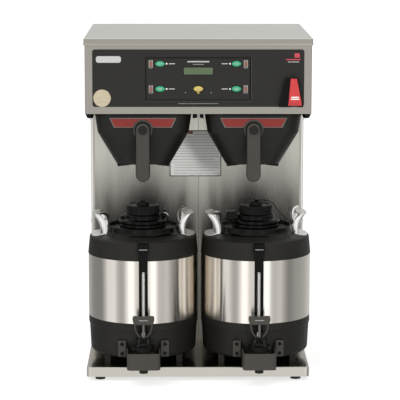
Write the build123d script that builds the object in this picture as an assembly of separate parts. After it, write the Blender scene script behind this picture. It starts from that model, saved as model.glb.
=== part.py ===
"""Twin satellite coffee brewer: C-shaped stainless body, two brew cones, two thermal servers.

Millimetres, +Z up, origin on the counter under the middle of the whole object.
The front of the machine faces -Y, and left means -X.
"""
import os

from build123d import *

os.makedirs("parts", exist_ok=True)

# ---- driving dimensions of the cabinet ----
SHEET = 1.5                 # stainless sheet thickness
FRONT = -220                # front plane of the base and of the top cover
COLUMN_FRONT = 50           # front face of the rear column
COLUMN_BACK = 268
LID_DEPTH = 498
LID_HALF = 261              # half widths of cover, head, column and base
HEAD_HALF = 259
COLUMN_HALF = 258
BASE_HALF = 259.5
FOOT_HEIGHT = 10
FOOT_X, FOOT_INSET = 229, 26    # places of the feet, from the middle and from front and back
BASE_TOP = 33
HEAD_BOTTOM = 626
HEAD_FLOOR = 632            # underside of the panel that closes the head
LID_BOTTOM = 783
LID_TOP = 799
HEAD_FRONT = FRONT + 4
EDGE_FLANGE = 9.5           # folded front edge of the column side panels
SCREW_HEIGHTS = (80, 334, 584)
SEAM_X = 3                  # where the two column front panels meet
FIT_GAP = 0.3               # air between parts that move past each other

# ---- control panel ----
PANEL_HALF = 241.5
PANEL_LOW, PANEL_HIGH = 642.5, 773.5
PANEL_THICK = 2.5
PANEL_FACE = HEAD_FRONT - PANEL_THICK
RECESS_HALF, RECESS_LOW, RECESS_HIGH, RECESS_DEEP = 121, 656, 756, 1.0
BUTTON_X, BUTTON_ROWS = 87, (683.5, 741)
BUTTON_LONG, BUTTON_TALL = 21, 13.5
DISPLAY_HALF, DISPLAY_LOW, DISPLAY_HIGH = 34, 716, 733

# ---- hot water tap ----
TAP_TOP, TAP_LOW = 708.5, 643.5
TAP_FRONT = PANEL_FACE - 16
TAP_PIVOT_Y, TAP_PIVOT_Z = TAP_FRONT + 4, 702.5
TAP_PIN_R = 2.5
TAP_VALVE_Y = HEAD_FRONT + 22
TAP_X = 217

# ---- brew cones ----
CONE_X, CONE_Y = 127, -102
CONE_TOP, CONE_SHOULDER, CONE_FLOOR = 622, 579, 503
CONE_WALL = 3
CONE_SECTIONS = [(CONE_TOP, 223, 214, 40), (CONE_SHOULDER, 211, 204, 40), (CONE_FLOOR, 126, 140, 34)]
RUNNER_LOW, RUNNER_HIGH, RUNNER_HALF = 618, 621, 118
RUNNER_FRONT, RUNNER_BACK = -20, 104    # ends of a runner, from the middle of its cone
RAIL_LIP = 4.5              # width of the ledge that a runner slides on
RAIL_DROP = 2.4             # underside of that ledge below the runner
BOSS_R = 19                 # boss that carries the cone's handle
OUTLET_R, OUTLET_BORE_R = 14, 7
STOP_X, STOP_HALF = 54, 6   # feet under the cone's floor
BOSS_OUT = 112              # front of that boss, from the middle of the cone
HANDLE_WIDE, HANDLE_THICK = 31, 11
HANDLE_TOP, HANDLE_LOW = 605, 470

# ---- satellites ----
SATELLITE_X = {"left": -129.5, "right": 137.5}
SATELLITE_Y = -95
SATELLITE_TURN = 1.1        # degrees that each satellite stands turned, faucet towards +X
BAND_R = 129.3
BAND_LOW, BAND_HIGH = 136.5, 284.5
COLLAR_TOP = 350
DISH_FLOOR = 344
RING_R, STEP_R, CAP_R = 56, 44.5, 39
STEP_TOP, CAP_TOP = 376, 397.5
GRIP_X, GRIP_Z, GRIP_R = 112, 380, 7.5
MOUTH_R = 59
SKIRT_LOW = 52
LEG_X, LEG_Y = 84, 72       # places of the skirt's four legs
FAUCET_Y = FRONT - 41
GUARD_FRONT = FRONT - 65
GUARD_LOW, GUARD_HIGH, GUARD_HALF = 40.5, 79.5, 38.5
PAD_LOW, PAD_HIGH, PAD_IN, PAD_OUT = 58, 96, 40, 59
PAD_Y = -217
LEVER_PIVOT_Z = 105
LEVER_PIN_R = 3
FAUCET_BORE_Z = 70
SHOULDER = [(126.2, 325), (124, 327.5), (106, 330.5), (92, 334)]

# ---- water system inside the column ----
TANK_HALF, TANK_FRONT, TANK_BACK, TANK_LOW, TANK_TOP = 150, 78, 246, 380, 612
TANK_FLANGE = 4             # the tank's lid reaches this far past its walls
ELEMENT_X = (-60, 60)
ELEMENT_Y = 185
VALVE_X, VALVE_Y = 84, 112
HOSE_Z = TANK_TOP + 30
GLAND_X, GLAND_Z = 190, 90
INLET_X, INLET_Z = -190, 90


# ---- shape helpers ----
def block(x0, x1, y0, y1, z0, z1):
    """Box between two corners."""
    return Pos((x0 + x1) / 2, (y0 + y1) / 2, (z0 + z1) / 2) * Box(x1 - x0, y1 - y0, z1 - z0)


def rod_z(x, y, z0, z1, r):
    return Pos(x, y, (z0 + z1) / 2) * Cylinder(r, z1 - z0)


def rod_y(x, z, y0, y1, r):
    return Pos(x, (y0 + y1) / 2, z) * Rot(90, 0, 0) * Cylinder(r, y1 - y0)


def rod_x(y, z, x0, x1, r):
    return Pos((x0 + x1) / 2, y, z) * Rot(0, 90, 0) * Cylinder(r, x1 - x0)


def turned(points):
    """Solid of revolution about Z from (radius, height) points."""
    return revolve(Plane.XZ * make_face(Polyline(*points, close=True)), Axis.Z, 360)


def front_plate(outline, y0, y1):
    """Sketch drawn in X and Z, made into a plate from y0 to y1."""
    return Pos(0, y1, 0) * extrude(Plane.XZ * outline, y1 - y0)


def pill(x, z, length, height):
    return Pos(x, z) * SlotOverall(length, height)


def tube(points, radii, outer, inner=0):
    """Round tube or rod along straight runs joined by arcs."""
    path = FilletPolyline(*points, radius=radii)
    start = Plane(origin=path @ 0, z_dir=path % 0)
    section = Circle(outer) - Circle(inner) if inner else Circle(outer)
    return sweep(start * section, path)


def group(shapes):
    return Compound(children=[shape if isinstance(shape, Solid) else shape.solid() for shape in shapes])


def save(shape, node):
    export_step(shape, f"parts/{node}.step")


# ---- cabinet ----
def base_pan():
    """Folded tray with an open underside and a gusset over each foot."""
    outer = block(-BASE_HALF, BASE_HALF, FRONT, COLUMN_BACK, FOOT_HEIGHT, BASE_TOP)
    outer = fillet(outer.edges().filter_by(Axis.Z).group_by(Axis.Y)[0], 9)
    outer = fillet(outer.faces().sort_by(Axis.Z)[-1].edges(), 3)
    inner = block(-BASE_HALF + SHEET, BASE_HALF - SHEET, FRONT + SHEET, COLUMN_BACK - SHEET,
                  FOOT_HEIGHT - 1, BASE_TOP - SHEET)
    inner = fillet(inner.edges().filter_by(Axis.Z).group_by(Axis.Y)[0], 7.5)
    tray = outer - inner
    for x, y in foot_places():
        gusset = block(x - 24, x + 24, y - 20, y + 20, FOOT_HEIGHT, FOOT_HEIGHT + 3)
        gusset += block(x - 24, x - 22, y - 20, y + 20, FOOT_HEIGHT, BASE_TOP - SHEET)
        gusset += block(x + 22, x + 24, y - 20, y + 20, FOOT_HEIGHT, BASE_TOP - SHEET)
        tray += gusset - rod_z(x, y, 0, FOOT_HEIGHT + 4, 5.2)
    return tray


def foot_places():
    """Centres of the four levelling feet."""
    front, back = FRONT + FOOT_INSET, COLUMN_BACK - FOOT_INSET
    return [(x, y) for x in (-FOOT_X, FOOT_X) for y in (front, back)]


def levelling_foot(x, y):
    seat, stud_top = FOOT_HEIGHT - 0.2, FOOT_HEIGHT + 18
    pad = Pos(x, y, 0) * turned([(0, 0), (11.5, 0), (12, 1.5), (10, FOOT_HEIGHT - 1.5), (8, seat), (5, seat),
                                 (5, stud_top), (0, stud_top)])
    return pad.solid()


def column_front():
    """Two flat front panels that meet at the seam."""
    edge = COLUMN_HALF - EDGE_FLANGE
    left = block(-edge, SEAM_X - 0.4, COLUMN_FRONT, COLUMN_FRONT + SHEET, BASE_TOP, HEAD_FLOOR)
    right = block(SEAM_X + 0.4, edge, COLUMN_FRONT, COLUMN_FRONT + SHEET, BASE_TOP, HEAD_FLOOR)
    return group([left, right])


def side_panel(side):
    """Column side with a folded flange at the front and the back."""
    x_out, x_in = side * COLUMN_HALF, side * (COLUMN_HALF - SHEET)
    low_x, high_x = sorted((x_out, x_in))
    skin = block(low_x, high_x, COLUMN_FRONT - 2, COLUMN_BACK - SHEET, BASE_TOP, HEAD_FLOOR)
    flange_x = side * (COLUMN_HALF - EDGE_FLANGE + 0.2)
    low_x, high_x = sorted((x_out, flange_x))
    front = block(low_x, high_x, COLUMN_FRONT - 2, COLUMN_FRONT - 0.5, BASE_TOP, HEAD_FLOOR)
    return (skin + front).solid()


def rear_panel():
    """Back cover of the column and the head, with louvres, gland and inlet holes."""
    skin = block(-COLUMN_HALF, COLUMN_HALF, COLUMN_BACK - SHEET, COLUMN_BACK, BASE_TOP, LID_BOTTOM + 8)
    for row in range(8):
        for x in (-120, 0, 120):
            slot = pill(x, 668 + 11 * row, 80, 4)
            skin -= front_plate(slot, COLUMN_BACK - 5, COLUMN_BACK + 5)
    skin -= rod_y(GLAND_X, GLAND_Z, COLUMN_BACK - 5, COLUMN_BACK + 5, 11)
    skin -= rod_y(INLET_X, INLET_Z, COLUMN_BACK - 5, COLUMN_BACK + 5, 7)
    return skin


def head_shell():
    """Folded front and sides of the head, cut out behind the control panel."""
    outer = block(-HEAD_HALF, HEAD_HALF, HEAD_FRONT, COLUMN_BACK, HEAD_BOTTOM, LID_BOTTOM + 8)
    outer = fillet(outer.edges().filter_by(Axis.Z).group_by(Axis.Y)[0], 3)
    inner = block(-HEAD_HALF + SHEET, HEAD_HALF - SHEET, HEAD_FRONT + SHEET, COLUMN_BACK + 1,
                  HEAD_BOTTOM - 1, LID_BOTTOM + 9)
    cut = block(-PANEL_HALF + 12, PANEL_HALF - 12, HEAD_FRONT - 1, HEAD_FRONT + 3,
                PANEL_LOW + 12, PANEL_HIGH - 12)
    column = block(-COLUMN_HALF - 0.2, COLUMN_HALF + 0.2, COLUMN_FRONT - 2.2, COLUMN_BACK + 1,
                   HEAD_BOTTOM - 1, LID_BOTTOM + 9)
    return outer - inner - cut - column


def head_floor():
    """Panel under the head that carries the spray heads and the cone rails."""
    half = HEAD_HALF - SHEET - 0.2
    plate = block(-half, half, HEAD_FRONT + SHEET + 0.2, COLUMN_FRONT - 2.2, HEAD_FLOOR, HEAD_FLOOR + SHEET)
    for x in (-CONE_X, CONE_X):
        plate -= rod_z(x, CONE_Y, HEAD_FLOOR - 2, HEAD_FLOOR + 4, 10.2)
    plate -= rod_z(TAP_X, TAP_VALVE_Y, HEAD_FLOOR - 2, HEAD_FLOOR + 4, 7.2)
    return plate


def top_cover():
    """Lift-off cover folded down on all four sides."""
    back = FRONT + LID_DEPTH
    outer = block(-LID_HALF, LID_HALF, FRONT, back, LID_BOTTOM, LID_TOP)
    outer = fillet(outer.edges().filter_by(Axis.Z), 3)
    outer = fillet(outer.faces().sort_by(Axis.Z)[-1].edges(), 2)
    inner_half = LID_HALF - SHEET
    inner = block(-inner_half, inner_half, FRONT + SHEET, back - SHEET, LID_BOTTOM - 1, LID_TOP - SHEET)
    return outer - inner


# ---- control panel and its buttons ----
def control_panel():
    """Black panel with a sunk keypad field, button holes and a display window."""
    centre_z = (PANEL_LOW + PANEL_HIGH) / 2
    outline = Pos(0, centre_z) * RectangleRounded(2 * PANEL_HALF, PANEL_HIGH - PANEL_LOW, 6)
    plate = front_plate(outline, PANEL_FACE, HEAD_FRONT)
    recess = Pos(0, (RECESS_LOW + RECESS_HIGH) / 2) * Rectangle(2 * RECESS_HALF, RECESS_HIGH - RECESS_LOW)
    plate -= front_plate(recess, PANEL_FACE - 1, PANEL_FACE + RECESS_DEEP)
    for x, z in button_places().values():
        plate -= front_plate(pill(x, z, BUTTON_LONG + 2 * FIT_GAP, BUTTON_TALL + 2 * FIT_GAP),
                             PANEL_FACE - 1, HEAD_FRONT + 1)
    window_z = (DISPLAY_LOW + DISPLAY_HIGH) / 2
    window = Pos(0, window_z) * Rectangle(2 * DISPLAY_HALF, DISPLAY_HIGH - DISPLAY_LOW)
    plate -= front_plate(window, PANEL_FACE - 1, HEAD_FRONT + 1)
    return plate


def button_places():
    low, high = BUTTON_ROWS
    return {"left_full_button": (-BUTTON_X, high), "left_half_button": (-BUTTON_X, low),
            "right_full_button": (BUTTON_X, high), "right_half_button": (BUTTON_X, low),
            "select_button": (0, low)}


def button(x, z):
    """Oval key cap with a flange behind the panel that stops it from falling out."""
    cap = front_plate(pill(x, z, BUTTON_LONG, BUTTON_TALL), PANEL_FACE - 0.4, HEAD_FRONT + 1.8)
    cap = fillet(cap.faces().sort_by(Axis.Y)[0].edges(), 0.8)
    flange = front_plate(pill(x, z, BUTTON_LONG + 3, BUTTON_TALL + 3), HEAD_FRONT + 0.4, HEAD_FRONT + 1.8)
    return cap + flange


def control_board():
    """Circuit board with the display and five switches behind the keys."""
    y0 = HEAD_FRONT + 12
    board = block(-112, 112, y0, y0 + 1.6, 662, 750)
    display = block(-DISPLAY_HALF + 0.4, DISPLAY_HALF - 0.4, HEAD_FRONT - 0.6, y0,
                    DISPLAY_LOW + 0.4, DISPLAY_HIGH - 0.4)
    for x, z in button_places().values():
        board += block(x - 3, x + 3, HEAD_FRONT + 3.4, y0, z - 3, z + 3)
    for x in (-60, 0, 60):
        board += block(x - 14, x + 14, y0 + 1.6, y0 + 20, 690, 712)
    return board + display


# ---- hot water tap ----
def tap_outline():
    """Tapered front outline of the tap housing, wide at the bottom."""
    return make_face(Polyline((184, TAP_LOW), (239, TAP_LOW), (227, TAP_TOP), (199, TAP_TOP), close=True))


def hot_water_housing():
    """Black tapered housing with a slot in front for the lever's arm."""
    body = front_plate(tap_outline(), TAP_FRONT, PANEL_FACE)
    slot = block(TAP_X - 6, TAP_X + 6, TAP_FRONT - 1, PANEL_FACE - 2, TAP_LOW - 1, TAP_TOP + 1)
    bore = rod_x(TAP_PIVOT_Y, TAP_PIVOT_Z, TAP_X - 10, TAP_X + 10, TAP_PIN_R + 0.05)
    return body - slot - bore


def hot_water_lever():
    """Red tapered paddle that hangs in front and pulls forward at the bottom."""
    y0, y1 = TAP_FRONT - 7, TAP_FRONT - 1.5
    low, high = TAP_LOW + 3.5, TAP_TOP + 0.5
    face = make_face(Polyline((204, low), (235.5, low), (223.5, high), (209.5, high), close=True))
    paddle = front_plate(face, y0, y1)
    arm = block(TAP_X - 5, TAP_X + 5, y1 - 1, TAP_PIVOT_Y + 3.3, TAP_PIVOT_Z - 3.3, TAP_PIVOT_Z + 3.3)
    arm = fillet(arm.edges().filter_by(Axis.X).group_by(Axis.Y)[-1], 3)
    pin = rod_x(TAP_PIVOT_Y, TAP_PIVOT_Z, TAP_X - 9.5, TAP_X + 9.5, TAP_PIN_R)
    return paddle + arm + pin


def hot_water_valve():
    """Valve body behind the panel with its spout through the head floor."""
    y = TAP_VALVE_Y
    body = block(TAP_X - 14, TAP_X + 14, y - 14, y + 16, 650, 690)
    spout = rod_z(TAP_X, y, HEAD_BOTTOM + 1, 650, 7)
    water_way = rod_z(TAP_X, y, HEAD_BOTTOM, 668, 4)
    inlet = rod_y(TAP_X, 676, y + 16, y + 34, 6)
    return body + spout + inlet - water_way


# ---- water system ----
def tank():
    outer = block(-TANK_HALF, TANK_HALF, TANK_FRONT, TANK_BACK, TANK_LOW, TANK_TOP)
    outer = fillet(outer.edges().filter_by(Axis.Z), 20)
    inner = block(-TANK_HALF + SHEET, TANK_HALF - SHEET, TANK_FRONT + SHEET, TANK_BACK - SHEET,
                  TANK_LOW + SHEET, TANK_TOP + 1)
    inner = fillet(inner.edges().filter_by(Axis.Z), 18.5)
    bracket = block(-COLUMN_HALF + 2 * SHEET, COLUMN_HALF - 2 * SHEET, TANK_BACK, COLUMN_BACK - SHEET - 0.5,
                    TANK_LOW, TANK_LOW + 30)
    bracket -= block(-COLUMN_HALF, COLUMN_HALF, TANK_BACK + 2, COLUMN_BACK, TANK_LOW + 2, TANK_LOW + 40)
    return outer - inner + bracket


def tank_lid():
    half = TANK_HALF + TANK_FLANGE
    front, back = TANK_FRONT - TANK_FLANGE, TANK_BACK + TANK_FLANGE
    plate = block(-half, half, front, back, TANK_TOP + 0.1, TANK_TOP + 3)
    plate = fillet(plate.edges().filter_by(Axis.Z), 22)
    for x in ELEMENT_X:
        for dx in (-18, 18):
            plate -= rod_z(x + dx, ELEMENT_Y, TANK_TOP - 2, TANK_TOP + 5, 4.6)
    for x in (-VALVE_X, VALVE_X):
        plate -= rod_z(x, VALVE_Y, TANK_TOP - 2, TANK_TOP + 5, 8.4)
    return plate


def heating_element(x):
    """U-shaped immersion heater hung through the tank lid, with its terminal block."""
    top, low = TANK_TOP + 8, TANK_LOW + 24
    y = ELEMENT_Y
    loop = tube([(x - 18, y, top), (x - 18, y, low), (x + 18, y, low), (x + 18, y, top)], 17, 4.3)
    cap = block(x - 28, x + 28, y - 10, y + 10, TANK_TOP + 3.1, TANK_TOP + 9)
    return (loop + cap).solid()


def dump_valve(side):
    """Solenoid valve on the tank lid, with its outlet towards the front."""
    x = side * VALVE_X
    top = TANK_TOP + 3
    body = rod_z(x, VALVE_Y, TANK_TOP - 20, top + 40, 8)
    body += block(x - 15, x + 15, VALVE_Y - 15, VALVE_Y + 15, top + 0.2, top + 34)
    body += rod_z(x, VALVE_Y, top + 34, top + 78, 17)
    body += rod_y(x, HOSE_Z, VALVE_Y - 34, VALVE_Y - 15, 5)
    return body.solid()


def dump_hose(side):
    """Silicone hose from a dump valve to the top of its spray head."""
    x_valve, x_head = side * VALVE_X, side * CONE_X
    z_head = HEAD_FLOOR + 24
    points = [(x_valve, VALVE_Y - 34.2, HOSE_Z), (x_valve, VALVE_Y - 74, HOSE_Z + 6),
              (x_head, CONE_Y + 60, z_head + 50), (x_head, CONE_Y, z_head + 44), (x_head, CONE_Y, z_head)]
    return tube(points, [30, 26, 24], 8, 5.2).solid()


def spray_head(side):
    """Spray disc under the head floor, clamped by a nut above it."""
    profile = [(0, 624.5), (30, 624.5), (33, 627), (33, HEAD_FLOOR - 0.1), (10, HEAD_FLOOR - 0.1),
               (10, HEAD_FLOOR + SHEET + 0.1), (16, HEAD_FLOOR + SHEET + 0.1), (16, HEAD_FLOOR + 8),
               (8, HEAD_FLOOR + 8), (8, HEAD_FLOOR + 23.8), (0, HEAD_FLOOR + 23.8)]
    return (Pos(side * CONE_X, CONE_Y, 0) * turned(profile)).solid()


def inlet_valve():
    """Water inlet fitting through the back and the solenoid valve behind it."""
    fitting = rod_y(INLET_X, INLET_Z, COLUMN_BACK - 30, COLUMN_BACK + 17, 6.5)
    fitting += rod_y(INLET_X, INLET_Z, COLUMN_BACK + 0.2, COLUMN_BACK + 5, 11)
    back = COLUMN_BACK - 28
    fitting += block(INLET_X - 20, INLET_X + 20, back - 42, back, INLET_Z - 18, INLET_Z + 18)
    fitting += rod_z(INLET_X, COLUMN_BACK - 50, INLET_Z + 18, INLET_Z + 60, 16)
    return fitting - rod_y(INLET_X, INLET_Z, COLUMN_BACK - 20, COLUMN_BACK + 18, 4.5)


def cord_gland():
    """Strain relief for the supply cord, open through its middle."""
    gland = rod_y(GLAND_X, GLAND_Z, COLUMN_BACK - 12, COLUMN_BACK + 14, 10.8)
    gland += rod_y(GLAND_X, GLAND_Z, COLUMN_BACK + 0.2, COLUMN_BACK + 7, 15)
    gland += rod_y(GLAND_X, GLAND_Z, COLUMN_BACK - 9, COLUMN_BACK - SHEET - 0.2, 15)
    return gland - rod_y(GLAND_X, GLAND_Z, COLUMN_BACK - 13, COLUMN_BACK + 15, 6.5)


def cone_rail(cone_side, rail_side):
    """Channel that carries one edge of a cone's runner."""
    x = cone_side * CONE_X + rail_side * (RUNNER_HALF + 1)
    y0, y1 = HEAD_FRONT + 4, COLUMN_FRONT - 12

    def strip(inner, outer, z0, z1):
        low_x, high_x = sorted((x + rail_side * inner, x + rail_side * outer))
        return block(low_x, high_x, y0, y1, z0, z1)

    web = strip(0, SHEET, RUNNER_LOW - RAIL_DROP, HEAD_FLOOR - 0.1)
    lip = strip(-RAIL_LIP, SHEET, RUNNER_LOW - RAIL_DROP, RUNNER_LOW - RAIL_DROP + 2)
    flange = strip(0, 4, HEAD_FLOOR - SHEET - 0.1, HEAD_FLOOR - 0.1)
    return (web + lip + flange).solid()


def panel_screws():
    """Round-head screws on the sides of the column and of the top cover."""
    screws = []
    for side in (-1, 1):
        for z in SCREW_HEIGHTS:
            for y in (COLUMN_FRONT + 10, COLUMN_BACK - 14):
                screws.append(cap_screw(side, y, z, COLUMN_HALF))
    return group(screws)


def cap_screw(side, y, z, face):
    low_x, high_x = sorted((side * face, side * (face + 2)))
    head = rod_x(y, z, low_x, high_x, 4.5)
    return fillet(head.faces().sort_by(Axis.X)[-1 if side > 0 else 0].edges(), 1.2).solid()


# ---- brew cones ----
def cone_body(shrink):
    """Rounded funnel in two tapers, drawn in by a wall thickness for its inside."""
    faces = []
    for z, wide, deep, corner in CONE_SECTIONS:
        outline = RectangleRounded(wide - 2 * shrink, deep - 2 * shrink, corner - shrink)
        height = z + shrink if z == CONE_FLOOR else z
        faces.append(Pos(0, 0, height) * outline)
    return loft(faces[:2], ruled=True) + loft(faces[1:], ruled=True)


def brew_cone(side):
    """Plastic funnel with side runners, outlet and a boss for the handle."""
    shell = cone_body(0)
    shell += block(-RUNNER_HALF, RUNNER_HALF, RUNNER_FRONT, RUNNER_BACK, RUNNER_LOW, RUNNER_HIGH)
    for dx in (-1, 1):
        stop = block(-STOP_HALF, STOP_HALF, -30, 30, CONE_FLOOR - 6, CONE_FLOOR + 8)
        shell += Pos(dx * STOP_X, 0, 0) * stop
    shell += rod_z(0, 0, CONE_FLOOR - 8, CONE_FLOOR + 4, OUTLET_R)
    shell += rod_y(0, HANDLE_TOP - HANDLE_WIDE / 2, -BOSS_OUT, -96, BOSS_R)
    shell -= cone_body(CONE_WALL)
    shell -= block(-107, 107, -101, 101, CONE_TOP - 0.5, CONE_TOP + 5)
    shell -= rod_z(0, 0, CONE_FLOOR - 20, CONE_FLOOR + 20, OUTLET_BORE_R)
    return Pos(side * CONE_X, CONE_Y, 0) * shell


def cone_handle(side):
    """Flat bar that hangs in front of the cone from a boss at its top end."""
    y_back = CONE_Y - BOSS_OUT - 0.2
    y_front = y_back - HANDLE_THICK
    middle = (HANDLE_TOP + HANDLE_LOW) / 2
    outline = Pos(0, middle) * Rot(0, 0, 90) * SlotOverall(HANDLE_TOP - HANDLE_LOW, HANDLE_WIDE)
    bar = front_plate(outline, y_front, y_back)
    bar = fillet(bar.faces().sort_by(Axis.Y)[0].edges(), 3)
    return Pos(side * CONE_X, 0, 0) * bar


def filter_basket(side):
    """Sheet steel insert with a pierced floor that holds the paper filter inside the cone."""
    low, high = CONE_FLOOR + 8, CONE_TOP - 6
    basket = turned([(0, low), (50, low), (92, high - 2), (96, high - 2), (96, high), (90.5, high),
                     (48.5, low + 2), (0, low + 2)])
    for turn in range(0, 360, 45):
        basket -= Rot(0, 0, turn) * rod_z(32, 0, low - 1, low + 3, 5)
    return Pos(side * CONE_X, CONE_Y, 0) * basket


# ---- satellites, drawn about their own axis ----
def jacket():
    """Brushed steel band round the insulated body."""
    return turned([(BAND_R - 1.5, BAND_LOW + 0.2), (BAND_R, BAND_LOW + 0.2), (BAND_R, BAND_HIGH - 0.2),
                   (BAND_R - 1.5, BAND_HIGH - 0.2)])


def collar():
    """Black shoulder that rises to a dished neck round the mouth."""
    outside = [(130, BAND_HIGH), *SHOULDER, (87, 338), (84.5, 343), (83, COLLAR_TOP)]
    dish = [(80, COLLAR_TOP), (79, DISH_FLOOR), (MOUTH_R, DISH_FLOOR), (MOUTH_R, 324), (MOUTH_R + 3, 324),
            (MOUTH_R + 3, DISH_FLOOR - 4)]
    inside = [(80.5, DISH_FLOOR - 4), (84, 335.5), (91, 331), (105, 327.3), (121.5, 323),
              (126.8, BAND_HIGH)]
    return turned(outside + dish + inside)


def skirt():
    """Black base with a bottom, screw pads for the guard, and four legs."""
    outside = [(0, SKIRT_LOW), (116, SKIRT_LOW), (121.5, 54), (124.5, 59), (127.3, 114), (129.2, 120),
               (129.2, BAND_LOW)]
    inside = [(126, BAND_LOW), (124.2, 114), (121.5, 62), (118, 57), (0, 57)]
    body = turned(outside + inside)
    for side in (-1, 1):
        low_x, high_x = sorted((side * PAD_IN, side * PAD_OUT))
        pad = block(low_x, high_x, PAD_Y - SATELLITE_Y, -108, PAD_LOW, PAD_HIGH)
        body += pad - rod_z(0, 0, 0, BAND_LOW, 122)
        for y in (-LEG_Y, LEG_Y):
            body += Pos(side * LEG_X, y, 0) * block(-7, 7, -9, 9, BASE_TOP + FIT_GAP, SKIRT_LOW + 1)
    return body - rod_y(0, FAUCET_BORE_Z, -140, -100, 10.5)


def liner():
    """Vacuum flask that holds the coffee, open at the neck."""
    outside = [(0, 62), (100, 62), (112, 74), (112, 298), (70, 318), (58, 321), (58, DISH_FLOOR)]
    inside = [(55, DISH_FLOOR), (55, 319), (68, 315), (109, 296), (109, 75), (99, 65), (0, 65)]
    return turned(outside + inside)


def lid():
    """Brew-through lid with a plug, a ring and a raised step."""
    low = DISH_FLOOR + 0.5
    plug_top = CAP_TOP - 5.5
    return turned([(9, 322), (53, 322), (53.5, low), (RING_R, low), (RING_R, 361), (RING_R - 1.5, 364),
                   (STEP_R, 365), (STEP_R, STEP_TOP - 0.8), (30, STEP_TOP), (30, plug_top), (9, plug_top)])


def cap():
    """Knurled cap that turns on the lid's boss, with a small button on top."""
    low = STEP_TOP + FIT_GAP
    roof = CAP_TOP - 4.5
    shell = turned([(30.06, low), (CAP_R, low), (CAP_R, CAP_TOP - 2.5), (CAP_R - 2, CAP_TOP), (16, CAP_TOP),
                    (15, CAP_TOP + 6), (9, CAP_TOP + 7.5), (6, CAP_TOP + 5), (6, roof), (30.06, roof)])
    for step in range(30):
        shell -= Rot(0, 0, 12 * step) * Pos(CAP_R + 0.6, 0, (low + CAP_TOP - 3) / 2) * Cylinder(1.5, 15)
    return shell


def shoulder_skin(thickness):
    """Thin shell that lies on the collar's shoulder."""
    lower = [(r, z + 0.5) for r, z in SHOULDER]
    upper = [(r, z + thickness) for r, z in reversed(SHOULDER)]
    return turned(lower + upper)


def side_handle(side):
    """Bright handle with two legs on the shoulder and a round grip between their tops."""
    above = turned([(0, 420), (160, 420), (160, 300), *[(r, z + 0.5) for r, z in SHOULDER], (0, 334.5)])
    leg_face = make_face(Polyline((90, 325), (107, 318), (105, 350), (118, 380), (104, 384), (92, 360),
                                  close=True))
    legs = front_plate(leg_face, -35, -33) + front_plate(leg_face, 33, 35)
    grip = rod_y(GRIP_X, GRIP_Z, -38, 38, GRIP_R)
    feet = shoulder_skin(2) & (block(96, 121, -40, -26, 300, 360) + block(96, 121, 26, 40, 300, 360))
    handle = (legs & above) + grip + feet
    return Rot(0, 0, 0 if side > 0 else 180) * handle


def gauge_shield():
    """Channel on the steel band that guards the sight tube, with a top clamp."""
    front = -BAND_R - 15.5
    channel = block(-10.4, 10.4, front, -BAND_R - 0.9, 120, 304)
    channel -= block(-5, 5, front - 1, -BAND_R - 3.5, 140, 262)
    channel -= rod_z(0, front + 7.5, 110, 305, 5)
    clamp = block(-12.7, 12.7, front - 2, -BAND_R - 1, 304, 327)
    clamp = fillet(clamp.edges().filter_by(Axis.Z).group_by(Axis.Y)[0], 4)
    clamp -= rod_z(0, front + 7.5, 300, 318, 5)
    return channel + clamp


def gauge_tube():
    """Glass level tube behind the shield's slot."""
    y = -BAND_R - 8
    return rod_z(0, y, 100.2, 312, 4) - rod_z(0, y, 90, 309, 2.6)


def faucet():
    """Valve body on a shank, with the bonnet ring above and the spout below."""
    y = FAUCET_Y - SATELLITE_Y
    body = rod_z(0, y, GUARD_LOW - 1, 84, 15)
    body += rod_z(0, y, 29.5, GUARD_LOW, 10)
    body += rod_z(0, y, 84, 94, 25)
    body += rod_z(0, y, 94, 100, 15)
    body += rod_y(0, FAUCET_BORE_Z, y, -118, 10)
    body += rod_z(0, -BAND_R - 8, FAUCET_BORE_Z, 100, 8)
    body -= rod_z(0, y, 25, 66, 6)
    for side in (-1, 1):
        ear = block(side * 10.5 - 2.5, side * 10.5 + 2.5, y - 8, y + 8, 99, LEVER_PIVOT_Z + 5)
        body += ear
    body -= rod_x(y, LEVER_PIVOT_Z, -14, 14, LEVER_PIN_R + 0.05)
    return body


def faucet_lever():
    """Wine-glass shaped paddle on a pin between the bonnet's ears."""
    y = FAUCET_Y - SATELLITE_Y
    foot = LEVER_PIVOT_Z - 3.2
    outline = make_face(Polyline((-7.5, foot), (7.5, foot), (7.5, 112), (17, 124), (22, 144), (-22, 144),
                                 (-17, 124), (-7.5, 112), close=True))
    blade = front_plate(outline, y - 3.5, y + 3.5)
    for side in (-1, 1):
        gap = make_face(Polyline((side * 3, 116), (side * 6.5, 116), (side * 13.5, 127), (side * 17.5, 141),
                                 (side * 3, 141), close=True))
        blade -= front_plate(gap, y - 5, y + 5)
    grip = Pos(0, 154.5) * RectangleRounded(50.5, 18, 5)
    blade += front_plate(grip, y - 6, y + 4)
    neck = make_face(Polyline((-22, 143), (22, 143), (24, 149), (-24, 149), close=True))
    blade += front_plate(neck, y - 3.5, y + 3.5)
    return blade + rod_x(y, LEVER_PIVOT_Z, -13, 13, LEVER_PIN_R)


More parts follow.
